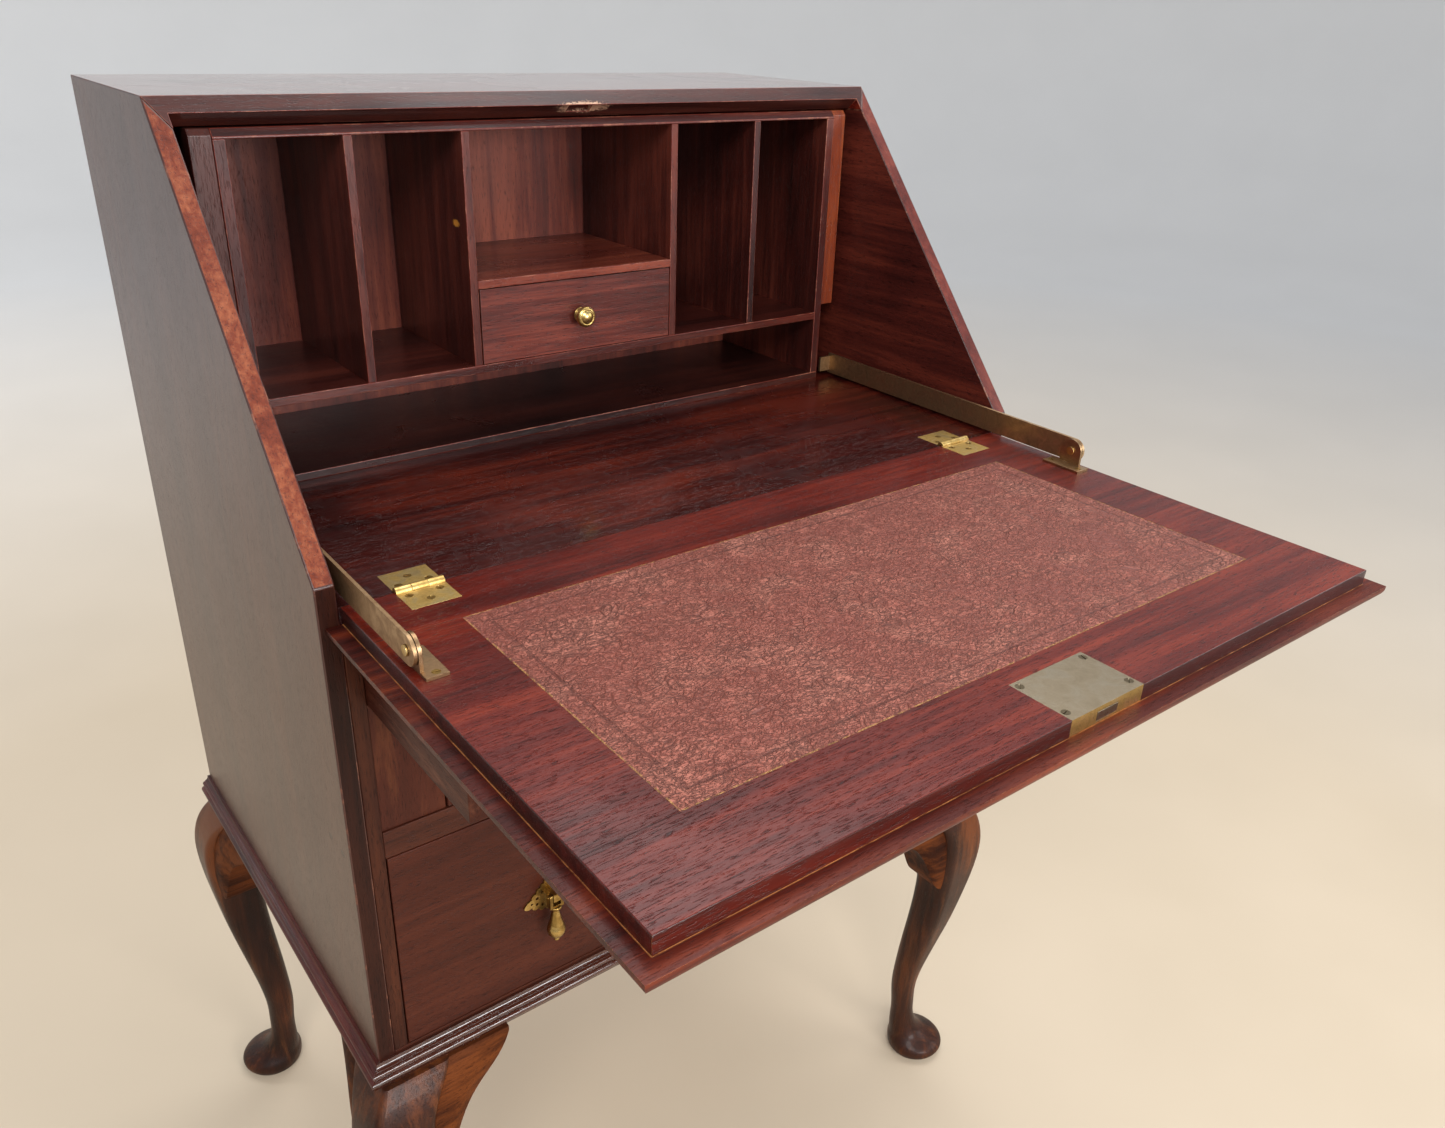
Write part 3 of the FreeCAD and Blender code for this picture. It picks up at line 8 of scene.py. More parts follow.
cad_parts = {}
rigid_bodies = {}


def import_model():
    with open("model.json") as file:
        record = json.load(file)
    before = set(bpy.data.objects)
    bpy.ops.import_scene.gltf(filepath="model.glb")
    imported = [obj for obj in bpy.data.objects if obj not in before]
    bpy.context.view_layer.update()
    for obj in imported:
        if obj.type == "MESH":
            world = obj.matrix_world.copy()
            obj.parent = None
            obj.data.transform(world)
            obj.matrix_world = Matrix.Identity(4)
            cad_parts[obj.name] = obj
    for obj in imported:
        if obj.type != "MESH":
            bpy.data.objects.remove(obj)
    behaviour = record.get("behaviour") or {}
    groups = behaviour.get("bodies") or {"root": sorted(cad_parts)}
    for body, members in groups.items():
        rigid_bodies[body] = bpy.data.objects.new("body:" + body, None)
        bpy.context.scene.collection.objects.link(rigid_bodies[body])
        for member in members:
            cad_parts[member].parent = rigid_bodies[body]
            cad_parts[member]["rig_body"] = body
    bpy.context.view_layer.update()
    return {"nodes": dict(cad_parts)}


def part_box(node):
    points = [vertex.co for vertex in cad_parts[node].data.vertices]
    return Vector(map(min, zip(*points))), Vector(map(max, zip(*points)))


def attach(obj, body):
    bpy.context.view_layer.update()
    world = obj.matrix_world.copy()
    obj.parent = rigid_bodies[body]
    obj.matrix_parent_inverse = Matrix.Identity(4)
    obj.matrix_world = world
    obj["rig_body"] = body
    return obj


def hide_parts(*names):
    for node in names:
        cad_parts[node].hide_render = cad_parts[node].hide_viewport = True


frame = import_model()

# A secretary desk with its fall open. Every piece is its CAD solid with softened edges and a
# node material of its own: polished or sawn wood, aged metal, or crackled leather. Lengths are
# in metres and colours are 0-255 display values.


# ---------------------------------------------------------------------------
# Node materials
# ---------------------------------------------------------------------------

def linear(r, g, b):
    """A display colour as linear RGBA."""
    def channel(value):
        value /= 255.0
        return value / 12.92 if value <= 0.04045 else ((value + 0.055) / 1.055) ** 2.4
    return (channel(r), channel(g), channel(b), 1.0)


SOCKETS = {"metallic": "Metallic", "coat_weight": "Coat Weight", "specular": "Specular IOR Level",
           "coat_roughness": "Coat Roughness"}


class Shader:
    """A small helper that builds one material's node tree."""

    def __init__(self, name):
        self.material = bpy.data.materials.new(name)
        self.material.use_nodes = True
        self.tree = self.material.node_tree
        self.tree.nodes.clear()
        self.out = self.add("ShaderNodeOutputMaterial")
        self.bsdf = self.add("ShaderNodeBsdfPrincipled")
        self.link(self.bsdf.outputs[0], self.out.inputs[0])
        self.coords = self.add("ShaderNodeTexCoord").outputs["Object"]

    def add(self, kind, **settings):
        node = self.tree.nodes.new(kind)
        for key, value in settings.items():
            setattr(node, key, value)
        return node

    def link(self, source, target):
        self.tree.links.new(source, target)

    def feed(self, socket, value):
        if isinstance(value, bpy.types.NodeSocket):
            self.link(value, socket)
        else:
            socket.default_value = value

    def moved(self, scale=(1, 1, 1), shift=(0, 0, 0), turn=(0, 0, 0), source=None):
        node = self.add("ShaderNodeMapping")
        self.feed(node.inputs["Vector"], source or self.coords)
        node.inputs["Scale"].default_value = scale
        node.inputs["Location"].default_value = shift
        node.inputs["Rotation"].default_value = turn
        return node.outputs[0]

    def noise(self, vector, scale, detail=4.0, rough=0.55, twist=0.0):
        node = self.add("ShaderNodeTexNoise")
        self.feed(node.inputs["Vector"], vector)
        node.inputs["Scale"].default_value = scale
        node.inputs["Detail"].default_value = detail
        node.inputs["Roughness"].default_value = rough
        node.inputs["Distortion"].default_value = twist
        return node.outputs["Fac"]

    def cell_borders(self, vector, scale):
        """The distance to the nearest border between cells."""
        node = self.add("ShaderNodeTexVoronoi", feature="DISTANCE_TO_EDGE")
        self.feed(node.inputs["Vector"], vector)
        node.inputs["Scale"].default_value = scale
        return node.outputs["Distance"]

    def math(self, operation, a, b=0.0, clamp=False):
        node = self.add("ShaderNodeMath", operation=operation, use_clamp=clamp)
        self.feed(node.inputs[0], a)
        self.feed(node.inputs[1], b)
        return node.outputs[0]

    def span(self, value, low, high, to_low=0.0, to_high=1.0):
        """Maps low..high to to_low..to_high, clamped."""
        node = self.add("ShaderNodeMapRange", clamp=True)
        self.feed(node.inputs[0], value)
        for index, number in enumerate((low, high, to_low, to_high), start=1):
            node.inputs[index].default_value = number
        return node.outputs[0]

    def mix(self, factor, a, b, mode="MIX"):
        node = self.add("ShaderNodeMix", data_type="RGBA", blend_type=mode)
        self.feed(node.inputs[0], factor)
        self.feed(node.inputs[6], a)
        self.feed(node.inputs[7], b)
        return node.outputs[2]

    def ramp(self, value, stops):
        node = self.add("ShaderNodeValToRGB")
        self.feed(node.inputs[0], value)
        while len(node.color_ramp.elements) < len(stops):
            node.color_ramp.elements.new(0.5)
        for element, (place, colour) in zip(node.color_ramp.elements, stops):
            element.position = place
            element.color = colour
        return node.outputs[0]

    def parts(self):
        node = self.add("ShaderNodeSeparateXYZ")
        self.link(self.coords, node.inputs[0])
        return node.outputs

    def near(self, value, place, width):
        """1 within width of a place on one coordinate, 0 elsewhere, with a soft edge."""
        away = self.math("ABSOLUTE", self.math("SUBTRACT", value, place))
        return self.span(away, width * 0.4, width, 1.0, 0.0)

    def bump(self, height, depth, strength):
        node = self.add("ShaderNodeBump")
        node.inputs["Strength"].default_value = strength
        node.inputs["Distance"].default_value = depth
        self.feed(node.inputs["Height"], height)
        return node.outputs[0]

    def finish(self, colour, rough, normal=None, **values):
        self.feed(self.bsdf.inputs["Base Color"], colour)
        self.feed(self.bsdf.inputs["Roughness"], rough)
        if normal is not None:
            self.link(normal, self.bsdf.inputs["Normal"])
        for name, value in values.items():
            self.bsdf.inputs[SOCKETS[name]].default_value = value
        return self.material


def stretched(amount):
    """Scales that draw a pattern out along each axis."""
    return {"x": (amount, 1.0, 1.0), "y": (1.0, amount, 1.0), "z": (1.0, 1.0, amount)}


GRAIN = stretched(0.05)
DASH = stretched(0.12)
TONE_STOPS = (0.36, 0.5, 0.64)      # where a pattern takes the dark, middle and light tone
PORE_SCALE, HAIR_SCALE = 1150.0, 1500.0
PORE_SHADE = (0.22, 0.17, 0.17, 1)
CHIP_RAGGED = 520.0                 # scale of a chip's broken outline
LINE_END = 0.0004                   # how soon a joint line or a line of painted highlight starts and stops


def wood(name, tones, along, seed, rough=0.36, coat=0.25, figure=0.35, pores=0.55, wear=0.0,
         worn=(178, 112, 82), lines=(), joint_and_highlight_tone=(24, 10, 8), streak=13.0, relief=0.00025,
         chips=(), halves=None, specular=0.35, coat_rough=0.12, smears=0.05):
    """Polished or sawn wood. tones are a dark, a middle and a light colour; along is the grain's
    axis, streak how fine it is, and figure how cloudy; pores is how dark the pores are, relief
    the bump's depth and smears how uneven the gloss; wear is how much of the surface is rubbed to
    the worn colour; lines are dark joints and pale lines of painted highlight, each an axis, a
    place, a width, and a range on the other level axis; chips are places where the polish is
    knocked off, each a centre, its reach on the three axes and a colour; halves gives the part
    with x above 0 other tones."""
    s = Shader(name)
    shift = (seed * 0.37, seed * 0.71, seed * 0.53)

    def toned(colours):
        return s.ramp(tone, list(zip(TONE_STOPS, [linear(*each) for each in colours])))

    grained = s.moved(GRAIN[along], shift)
    broad = s.noise(grained, streak, 5.0, 0.6, 1.1)
    fine = s.noise(grained, streak * 9.0, 6.0, 0.65, 0.5)
    cloud = s.noise(s.moved(shift=shift), 5.5, 3.0, 0.5, 0.6)
    tone = s.math("ADD", s.math("MULTIPLY", broad, 0.5), s.math("MULTIPLY", fine, 0.5))
    tone = s.math("ADD", tone, s.math("MULTIPLY", s.math("SUBTRACT", cloud, 0.5), figure))
    colour = toned(tones)
    axes = dict(zip("xyz", s.parts()))
    if halves:
        colour = s.mix(s.math("GREATER_THAN", axes["x"], 0.0), colour, toned(halves))
    pore = s.noise(s.moved(DASH[along], shift), PORE_SCALE, 2.0, 0.5)
    hair = s.noise(s.moved(GRAIN[along], shift), HAIR_SCALE, 2.0, 0.5)
    pore = s.math("MAXIMUM", s.span(pore, 0.58, 0.68), s.span(hair, 0.62, 0.74, 0.0, 0.6))
    darker = s.mix(1.0, colour, PORE_SHADE, "MULTIPLY")
    colour = s.mix(s.math("MULTIPLY", pore, pores), colour, darker)
    spread = s.noise(s.moved(DASH[along], shift), 70.0, 6.0, 0.7, 0.4)
    rubbed = s.span(spread, 0.62 - wear * 0.3, 0.74 - wear * 0.3)
    colour = s.mix(s.math("MULTIPLY", rubbed, wear, True), colour, linear(*worn))
    height = s.math("SUBTRACT", s.math("MULTIPLY", fine, 0.4), pore)
    for centre, extent, paint in chips:
        away = s.add("ShaderNodeVectorMath", operation="DISTANCE")
        scaled = [1.0 / reach for reach in extent]
        s.link(s.moved(scaled), away.inputs[0])
        away.inputs[1].default_value = [c * k for c, k in zip(centre, scaled)]
        ragged = s.noise(s.coords, CHIP_RAGGED, 4.0, 0.7, 0.6)
        there = s.math("ADD", away.outputs["Value"], s.math("MULTIPLY", ragged, 1.1))
        there = s.span(there, 1.15, 1.3, 1.0, 0.0)
        colour = s.mix(there, colour, linear(*paint))
        height = s.math("SUBTRACT", height, there)
    if lines:
        joint_and_highlight = 0.0
        for axis, place, width, other, low, high in lines:
            here = s.near(axes[axis], place, width)
            start = s.span(axes[other], low - LINE_END, low)
            stop = s.span(axes[other], high, high + LINE_END, 1.0, 0.0)
            here = s.math("MULTIPLY", here, s.math("MULTIPLY", start, stop))
            joint_and_highlight = s.math("MAXIMUM", joint_and_highlight, here)
        broken = s.span(s.noise(s.moved(shift=shift), 60.0, 4.0, 0.7, 0.5), 0.4, 0.56, 0.2, 0.85)
        colour = s.mix(s.math("MULTIPLY", joint_and_highlight, broken), colour, linear(*joint_and_highlight_tone))
        height = s.math("SUBTRACT", height, s.math("MULTIPLY", joint_and_highlight, 1.2))
    smear = s.noise(s.moved(shift=shift), 9.0, 5.0, 0.6, 1.2)
    roughness = s.span(smear, 0.3, 0.7, rough - smears, rough + 1.6 * smears)
    return s.finish(colour, roughness, s.bump(height, relief, 0.6), coat_weight=coat,
                    coat_roughness=coat_rough, specular=specular)


def worn_edge_and_highlight(name, tones, worn, seed, amount):
    """A board's corner, where the polish is rubbed through in places to paler wood; on the
    fall's arrises the pale is partly a painted highlight.
    """
    s = Shader(name)
    shift = (seed * 0.31, seed * 0.17, seed * 0.83)
    rubbed = s.noise(s.moved(shift=shift), 42.0, 6.0, 0.72, 0.8)
    fine = s.noise(s.moved(shift=shift), 420.0, 3.0, 0.6)
    mask = s.span(s.math("ADD", rubbed, s.math("MULTIPLY", fine, 0.25)), 0.72 - amount * 0.3,
                  0.86 - amount * 0.3)
    colour = s.mix(mask, s.mix(fine, linear(*tones[0]), linear(*tones[1])), linear(*worn))
    roughness = s.span(rubbed, 0.3, 0.7, 0.3, 0.5)
    return s.finish(colour, roughness, s.bump(fine, 0.00015, 0.6), coat_weight=0.3,
                    coat_roughness=0.2)


def brass(name, tones, rough, seed, stain=0.3):
    """Aged brass: bright where rubbed, dark in clouds, with fine scratches."""
    s = Shader(name)
    shift = (seed, seed * 0.7, seed * 0.4)
    cloud = s.noise(s.moved(shift=shift), 95.0, 5.0, 0.62, 0.7)
    speck = s.noise(s.moved(shift=shift), 900.0, 3.0, 0.6)
    scratch = s.noise(s.moved((0.12, 1, 1), shift, (0.3, 0.2, 0.6)), 1500.0, 2.0, 0.5)
    dark, middle, light = [linear(*each) for each in tones]
    colour = s.ramp(cloud, [(0.22, dark), (0.5, middle), (0.74, light)])
    colour = s.mix(s.math("MULTIPLY", s.span(speck, 0.56, 0.7), stain), colour, dark)
    roughness = s.span(cloud, 0.35, 0.65, rough + 0.1, rough - 0.04)
    height = s.math("ADD", s.math("MULTIPLY", scratch, 0.6), s.math("MULTIPLY", speck, 0.4))
    return s.finish(colour, roughness, s.bump(height, 0.00005, 0.5), metallic=1.0)


HIDE_TONES = ((138, 70, 57), (158, 86, 70), (176, 106, 88))
HIDE_DUST, HIDE_CREASE = (186, 124, 106), (62, 24, 19)
EMBOSS_INSET, EMBOSS_WIDTH, EMBOSS_TONE = 0.0125, 0.0012, (96, 50, 42)
GILT_WIDTH, GILT_FADE, GILT_TONE = 0.0007, 0.0013, (176, 128, 74)


def leather(name, low, high):
    """Dusty rose leather with a crackled grain, an embossed line inside its edge, and a
    tarnished gold line at the edge."""
    s = Shader(name)
    x, y, _ = s.parts()
    warp = s.add("ShaderNodeTexNoise")
    s.link(s.coords, warp.inputs["Vector"])
    warp.inputs["Scale"].default_value = 70.0
    warp.inputs["Detail"].default_value = 4.0
    bent = s.add("ShaderNodeVectorMath", operation="MULTIPLY_ADD")
    s.link(warp.outputs["Color"], bent.inputs[0])
    bent.inputs[1].default_value = (0.012, 0.012, 0.0)
    s.link(s.coords, bent.inputs[2])
    patch = s.noise(s.coords, 24.0, 5.0, 0.65, 0.5)
    crease = 0.0
    for scale, width, strength in ((105.0, 0.095, 1.0), (230.0, 0.11, 0.8)):
        place = s.moved((1.0, 1.25, 1.0), (scale, 0.1, 0), source=bent.outputs[0])
        cell = s.cell_borders(place, scale)
        broken = s.span(s.noise(s.moved(shift=(scale, 0, 0)), scale * 0.8, 3.0, 0.6), 0.42, 0.56)
        fold = s.math("MULTIPLY", s.span(cell, 0.0, width, strength, 0.0), broken)
        crease = s.math("MAXIMUM", crease, fold)
    for scale, strength in ((120.0, 0.9), (300.0, 0.6)):
        ridge = s.noise(s.moved((0.8, 1.5, 1.0), (0.2, scale, 0)), scale, 3.0, 0.55, 1.6)
        ridge = s.math("ABSOLUTE", s.math("SUBTRACT", ridge, 0.5))
        crease = s.math("MAXIMUM", crease, s.span(ridge, 0.0, 0.034, strength, 0.0))
    crease = s.math("MULTIPLY", crease, s.span(patch, 0.3, 0.6, 0.45, 1.0))
    tint = s.ramp(patch, list(zip(TONE_STOPS, [linear(*each) for each in HIDE_TONES])))
    speck = s.noise(s.coords, 1300.0, 2.0, 0.6)
    tint = s.mix(s.math("MULTIPLY", s.span(speck, 0.5, 0.62), 0.3), tint, linear(*HIDE_DUST))
    colour = s.mix(s.math("MULTIPLY", crease, 0.85), tint, linear(*HIDE_CREASE))
    middle = ((low[0] + high[0]) / 2, (low[1] + high[1]) / 2)
    half = ((high[0] - low[0]) / 2, (high[1] - low[1]) / 2)
    from_x = s.math("SUBTRACT", half[0], s.math("ABSOLUTE", s.math("SUBTRACT", x, middle[0])))
    from_y = s.math("SUBTRACT", half[1], s.math("ABSOLUTE", s.math("SUBTRACT", y, middle[1])))
    inward = s.math("MINIMUM", from_x, from_y)
    emboss = s.near(inward, EMBOSS_INSET, EMBOSS_WIDTH)
    gilt = s.span(inward, GILT_WIDTH, GILT_FADE, 1.0, 0.0)
    wobble = s.span(s.noise(s.coords, 240.0, 2.0), 0.4, 0.55)
    colour = s.mix(s.math("MULTIPLY", emboss, 0.45), colour, linear(*EMBOSS_TONE))
    colour = s.mix(s.math("MULTIPLY", gilt, wobble), colour, linear(*GILT_TONE))
    height = s.math("MULTIPLY", crease, -1.0)
    height = s.math("SUBTRACT", height, s.math("MULTIPLY", emboss, 0.8))
    height = s.math("ADD", height, s.math("MULTIPLY", speck, 0.12))
    roughness = s.span(patch, 0.3, 0.7, 0.46, 0.62)
    return s.finish(colour, roughness, s.bump(height, 0.0012, 1.0), specular=0.4)


# ---------------------------------------------------------------------------
# Pieces
# ---------------------------------------------------------------------------

WELD_DISTANCE = 2e-6    # metres
FLAT_ANGLE = 0.4        # degrees: faces that meet at less are one flat face
SHARP_ANGLE = 32.0      # degrees: edges sharper than this are softened
BEVEL_STEPS = 2


def body_name(node):
    return frame["nodes"][node]["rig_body"]


def welded(node):
    """A copy of a CAD node's mesh with its flat faces whole and its seams closed."""
    mesh = frame["nodes"][node].data.copy()
    if mesh.has_custom_normals:
        mesh.attributes.remove(mesh.attributes["custom_normal"])
    work = bmesh.new()
    work.from_mesh(mesh)
    bmesh.ops.remove_doubles(work, verts=work.verts, dist=WELD_DISTANCE)
    bmesh.ops.dissolve_limit(work, angle_limit=math.radians(FLAT_ANGLE), verts=work.verts,
                             edges=work.edges)
    for face in work.faces:
        face.smooth = True
    work.to_mesh(mesh)
    work.free()
    return mesh


def refine(node, surface, edge, width, faces=()):
    """Stands in for a CAD node: the same solid with its edges softened to a width. faces are
    pairs of a test on a flat face and the material of the faces that pass it."""
    mesh = welded(node)
    mesh.materials.clear()
    mesh.materials.append(surface)
    mesh.materials.append(edge or surface)
    for number, (test, other) in enumerate(faces, start=2):
        mesh.materials.append(other)
        for polygon in mesh.polygons:
            if test(polygon):
                polygon.material_index = number
    piece = bpy.data.objects.new(node + "_fine", mesh)
    bpy.context.scene.collection.objects.link(piece)
    bevel = piece.modifiers.new("soft_edges", "BEVEL")
    bevel.width = width
    bevel.segments = BEVEL_STEPS
    bevel.limit_method = "ANGLE"
    bevel.angle_limit = math.radians(SHARP_ANGLE)
    bevel.use_clamp_overlap = True
    bevel.material = 1
    bevel.harden_normals = True
    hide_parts(node)
    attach(piece, body_name(node))


# Tones: dark, middle, light.
RED = ((62, 13, 8), (92, 24, 14), (122, 42, 24))
DEEP = ((34, 8, 7), (56, 16, 12), (92, 32, 20))
BROWN = ((44, 19, 12), (66, 31, 20), (86, 44, 28))
FRONT = ((56, 23, 14), (68, 29, 18), (80, 37, 23))
# Lighter tones for the pigeonholes' centre shelf and back: partly painted light, as falls on the
# centre pigeonhole's back.
CENTRE_LIT = ((60, 22, 16), (100, 42, 31), (138, 68, 48))
STILE = ((34, 13, 8), (50, 21, 12), (74, 36, 20))
SIDE = ((66, 36, 22), (76, 43, 27), (88, 52, 34))
# Darker tones for the pigeonholes' walls, top and shelf: partly painted shade, as lies inside the
# pigeonholes.
INSIDE_SHADED = ((34, 12, 10), (64, 24, 19), (104, 47, 35))
INNER = ((48, 17, 13), (84, 34, 27), (122, 56, 42))
DARK = ((24, 9, 8), (44, 17, 14), (70, 30, 22))
ORANGE = ((78, 26, 13), (120, 50, 25), (156, 82, 44))
LEG = ((32, 13, 7), (56, 26, 13), (104, 54, 24))
PINE = ((112, 72, 44), (146, 100, 64), (172, 126, 86))

edge_red = worn_edge_and_highlight("edge_red", (RED[0], RED[2]), (146, 88, 66), 1.0, 0.3)
edge_dark = worn_edge_and_highlight("edge_dark", (DEEP[1], BROWN[1]), (130, 78, 56), 2.0, 0.15)
# The fall's arrises: worn, and paler still with a painted highlight along them.
edge_gold_wear_and_highlight = worn_edge_and_highlight("edge_gold_wear_and_highlight", (RED[0], RED[1]), (226, 156, 88), 3.0, 0.5)

fall_low, fall_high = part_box("fall_panel")
hide_low, hide_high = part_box("leather_inset")
top_low, top_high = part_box("top_board")
unit_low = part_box("unit_dividers")[0]
side_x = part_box("side_left")[0].x

reach = 0.2905                      # the raised field's sides, from the middle
ledge_y = fall_low.y + 0.011        # its front edge
ledge_z = fall_high.z - 0.0104      # just above the lip round it
rebate_z = top_high.z - 0.009       # the top of the rebate under the top board's edge
margin = 0.002

# Joints in the frame round the leather, and the pale line in the angle of the fall's lip, which
# is a painted highlight along the quirk there.
FALL_LINES = [("y", place, width, "x", low, high)
              for place, width in ((hide_high.y, 0.0005), (hide_low.y, 0.0004))
              for low, high in ((-reach, hide_low.x), (hide_high.x, reach))]
# Pale lines of painted highlight along the quirk at the foot of the raised field.
QUIRK_HIGHLIGHT_LINES = [
    ("y", ledge_y, 0.0008, "x", -reach, reach),
    ("x", -reach, 0.0007, "y", ledge_y, fall_high.y),
    ("x", reach, 0.0007, "y", ledge_y, fall_high.y),
]

# Places where the polish is knocked off: round the lock's mortise in the top, on a divider, and
# two dents low on the left side.
mortise_chip = ((0.007, top_low.y + 0.006, top_high.z - 0.0135), (0.036, 0.012, 0.009),
                (190, 150, 122))
divider_chip = ((-0.0975, unit_low.y + 0.018, unit_low.z + 0.107), (0.006, 0.008, 0.004),
                (206, 138, 52))
side_dents = [((side_x, y, 0.5575), (0.006, 0.005, 0.0035), (46, 24, 16))
              for y in (-0.0119, -0.0337)]

ROUGH_SAWN = dict(rough=0.6, coat=0.0)
SATIN = dict(rough=0.36, coat=0.18, coat_rough=0.2, figure=0.12, specular=0.38, smears=0.01)
DULL = dict(rough=0.45, coat=0.03, specular=0.16)
GLOSSY = dict(rough=0.2, coat=0.9, specular=0.5, coat_rough=0.08)
RUBBED = dict(DULL, wear=0.4, worn=(138, 84, 60))

WOODS = {
    # node: tones, grain axis, seed, edge material, bevel in metres, other settings
    "side_left": (SIDE, "z", 1.0, edge_dark, 0.0011, dict(SATIN, chips=side_dents)),
    "side_right": (SIDE, "z", 2.0, edge_dark, 0.0011, SATIN),
    "top_board": (RED, "x", 3.0, edge_red, 0.0009,
                  dict(rough=0.24, coat=1.0, specular=0.5, chips=(mortise_chip,))),
    "back_panel": (BROWN, "z", 4.0, edge_dark, 0.0006, dict(rough=0.55, coat=0.05)),
    "writing_board": (DEEP, "x", 5.0, edge_dark, 0.0005, dict(rough=0.25, figure=0.5)),
    "front_stiles": (STILE, "z", 6.0, None, 0.0007, DULL),
    "loper_faces": (FRONT, "z", 7.0, None, 0.0007,
                    dict(DULL, wear=0.3, worn=(122, 70, 40), figure=0.6)),
    "mid_rail": (BROWN, "x", 8.0, None, 0.0007, DULL),
    "dust_panel": (PINE, "y", 9.0, None, 0.0006, ROUGH_SAWN),
    "bottom_rail": (BROWN, "x", 10.0, None, 0.0006, DULL),
    "bottom_board": (PINE, "x", 11.0, None, 0.0006, ROUGH_SAWN),
    "loper_partitions": (PINE, "y", 12.0, None, 0.0005, ROUGH_SAWN),
    "loper_runners": (PINE, "y", 13.0, None, 0.0005, ROUGH_SAWN),
    "drawer_guides": (PINE, "y", 14.0, None, 0.0005, ROUGH_SAWN),
    "leg_dowels": (PINE, "z", 15.0, None, 0.0004, ROUGH_SAWN),
    "moulding_front": (BROWN, "x", 16.0, None, 0.0003, GLOSSY),
    "moulding_sides": (DEEP, "y", 17.0, None, 0.0003, dict(rough=0.34, coat=0.12, specular=0.3)),
    "knee_brackets": (LEG, "x", 18.0, None, 0.0008,
                      dict(rough=0.55, coat=0.0, specular=0.06, figure=0.7)),
    "unit_base": (DARK, "x", 20.0, edge_red, 0.0005, dict(rough=0.3)),
    "unit_shelf": (INSIDE_SHADED, "x", 21.0, edge_red, 0.0005, dict(rough=0.3)),
    "unit_top": (INSIDE_SHADED, "x", 22.0, edge_red, 0.0005, dict()),
    "unit_sides": (INSIDE_SHADED, "z", 23.0, edge_red, 0.0005, dict()),
    "unit_dividers": (INSIDE_SHADED, "z", 24.0, edge_red, 0.0005,
                      dict(figure=0.5, chips=(divider_chip,))),
    "unit_centre_shelf": (CENTRE_LIT, "x", 25.0, edge_red, 0.0005, dict(rough=0.28)),
    "unit_back": (CENTRE_LIT, "z", 26.0, None, 0.0004, dict(figure=0.5, rough=0.45)),
    "filler_strips": (DARK, "z", 27.0, None, 0.0006, dict(halves=ORANGE)),
    "inner_drawer_front": (INNER, "x", 28.0, edge_dark, 0.0005, dict(streak=24.0)),
    "inner_drawer_box": (PINE, "y", 29.0, None, 0.0004, ROUGH_SAWN),
    "upper_drawer_front": (FRONT, "x", 30.0, None, 0.0008, dict(DULL, figure=0.3)),
    "upper_drawer_box": (PINE, "y", 31.0, None, 0.0006, ROUGH_SAWN),
    "lower_drawer_front": (FRONT, "x", 32.0, None, 0.0008, dict(DULL, figure=0.3)),
    "lower_drawer_box": (PINE, "y", 33.0, None, 0.0006, ROUGH_SAWN),
    "loper_left": (FRONT, "y", 34.0, None, 0.0007, RUBBED),
    "loper_right": (FRONT, "y", 35.0, None, 0.0007, RUBBED),
    "fall_panel": (RED, "x", 36.0, edge_gold_wear_and_highlight, 0.0008,
                   dict(rough=0.32, coat=0.08, specular=0.27, figure=0.25, lines=FALL_LINES,
                        pores=0.8, streak=22.0, relief=0.0004)),
}

# Faces that differ from the rest of their board: the sides' sloping edges, narrow front edges
# and inner faces, the top's front edge and the dark rebate under it, the fall's moulded lip with
# a pale line of painted highlight in its angle, and the edge of its raised field, darkened with
# painted shade.
slope_left = wood("wood_slope_left", ((84, 33, 20), (114, 52, 33), (148, 84, 56)), "z", 51.0,
                  rough=0.38, coat=0.1, specular=0.25, streak=30.0, figure=0.15)
slope_right = wood("wood_slope_right", ((64, 20, 14), (96, 36, 27), (124, 58, 44)), "z", 56.0,
                   rough=0.34, wear=0.1)
top_edge = wood("wood_top_edge", ((78, 20, 17), (120, 38, 32), (148, 60, 50)), "x", 52.0,
                rough=0.45, coat=0.0, specular=0.1)
rebate_face = wood("wood_rebate", DARK, "x", 53.0, chips=(mortise_chip,))
# The lip, which carries the quirk's pale line of painted highlight.
lip_edge = wood("wood_lip", ((42, 10, 6), (76, 23, 13), (120, 48, 24)), "x", 54.0, rough=0.4,
                coat=0.05, specular=0.2, lines=QUIRK_HIGHLIGHT_LINES, joint_and_highlight_tone=(196, 128, 74))
# The raised field's side faces, darker than its top: painted shade.
raised_side_shade = wood("wood_raised_side", ((34, 8, 6), (58, 15, 10), (90, 28, 18)), "x", 57.0,
                   rough=0.3, coat=0.2)
front_edge = wood("wood_front_edge", STILE, "z", 58.0, **DULL)
inner_side = wood("wood_inner_side", ((46, 15, 13), (74, 27, 21), (106, 44, 31)), "y", 55.0,
                  rough=0.36, coat=0.12, figure=0.3, smears=0.02)


def faces_front(polygon):
    return polygon.normal.y < -0.95


def slopes(polygon):
    return polygon.normal.y < -0.5 and polygon.normal.z > 0.5


def rebate(polygon):
    low = polygon.center.z < rebate_z
    return low and (polygon.normal.y < -0.3 or polygon.normal.z < -0.3)


def lip(polygon):
    return polygon.center.z < ledge_z and polygon.normal.z > -0.9


def field_side(polygon):
    outside = polygon.center.y < ledge_y + margin or abs(polygon.center.x) > reach - margin
    return outside and abs(polygon.normal.z) < 0.8 and polygon.center.z > ledge_z


FACES = {
    "side_left": [(slopes, slope_left), (faces_front, front_edge),
                  (lambda polygon: polygon.normal.x > 0.5, inner_side)],
    "side_right": [(slopes, slope_right), (faces_front, front_edge),
                   (lambda polygon: polygon.normal.x < -0.5, inner_side)],
    "top_board": [(slopes, top_edge), (rebate, rebate_face)],
    "fall_panel": [(lip, lip_edge), (field_side, raised_side_shade)],
}

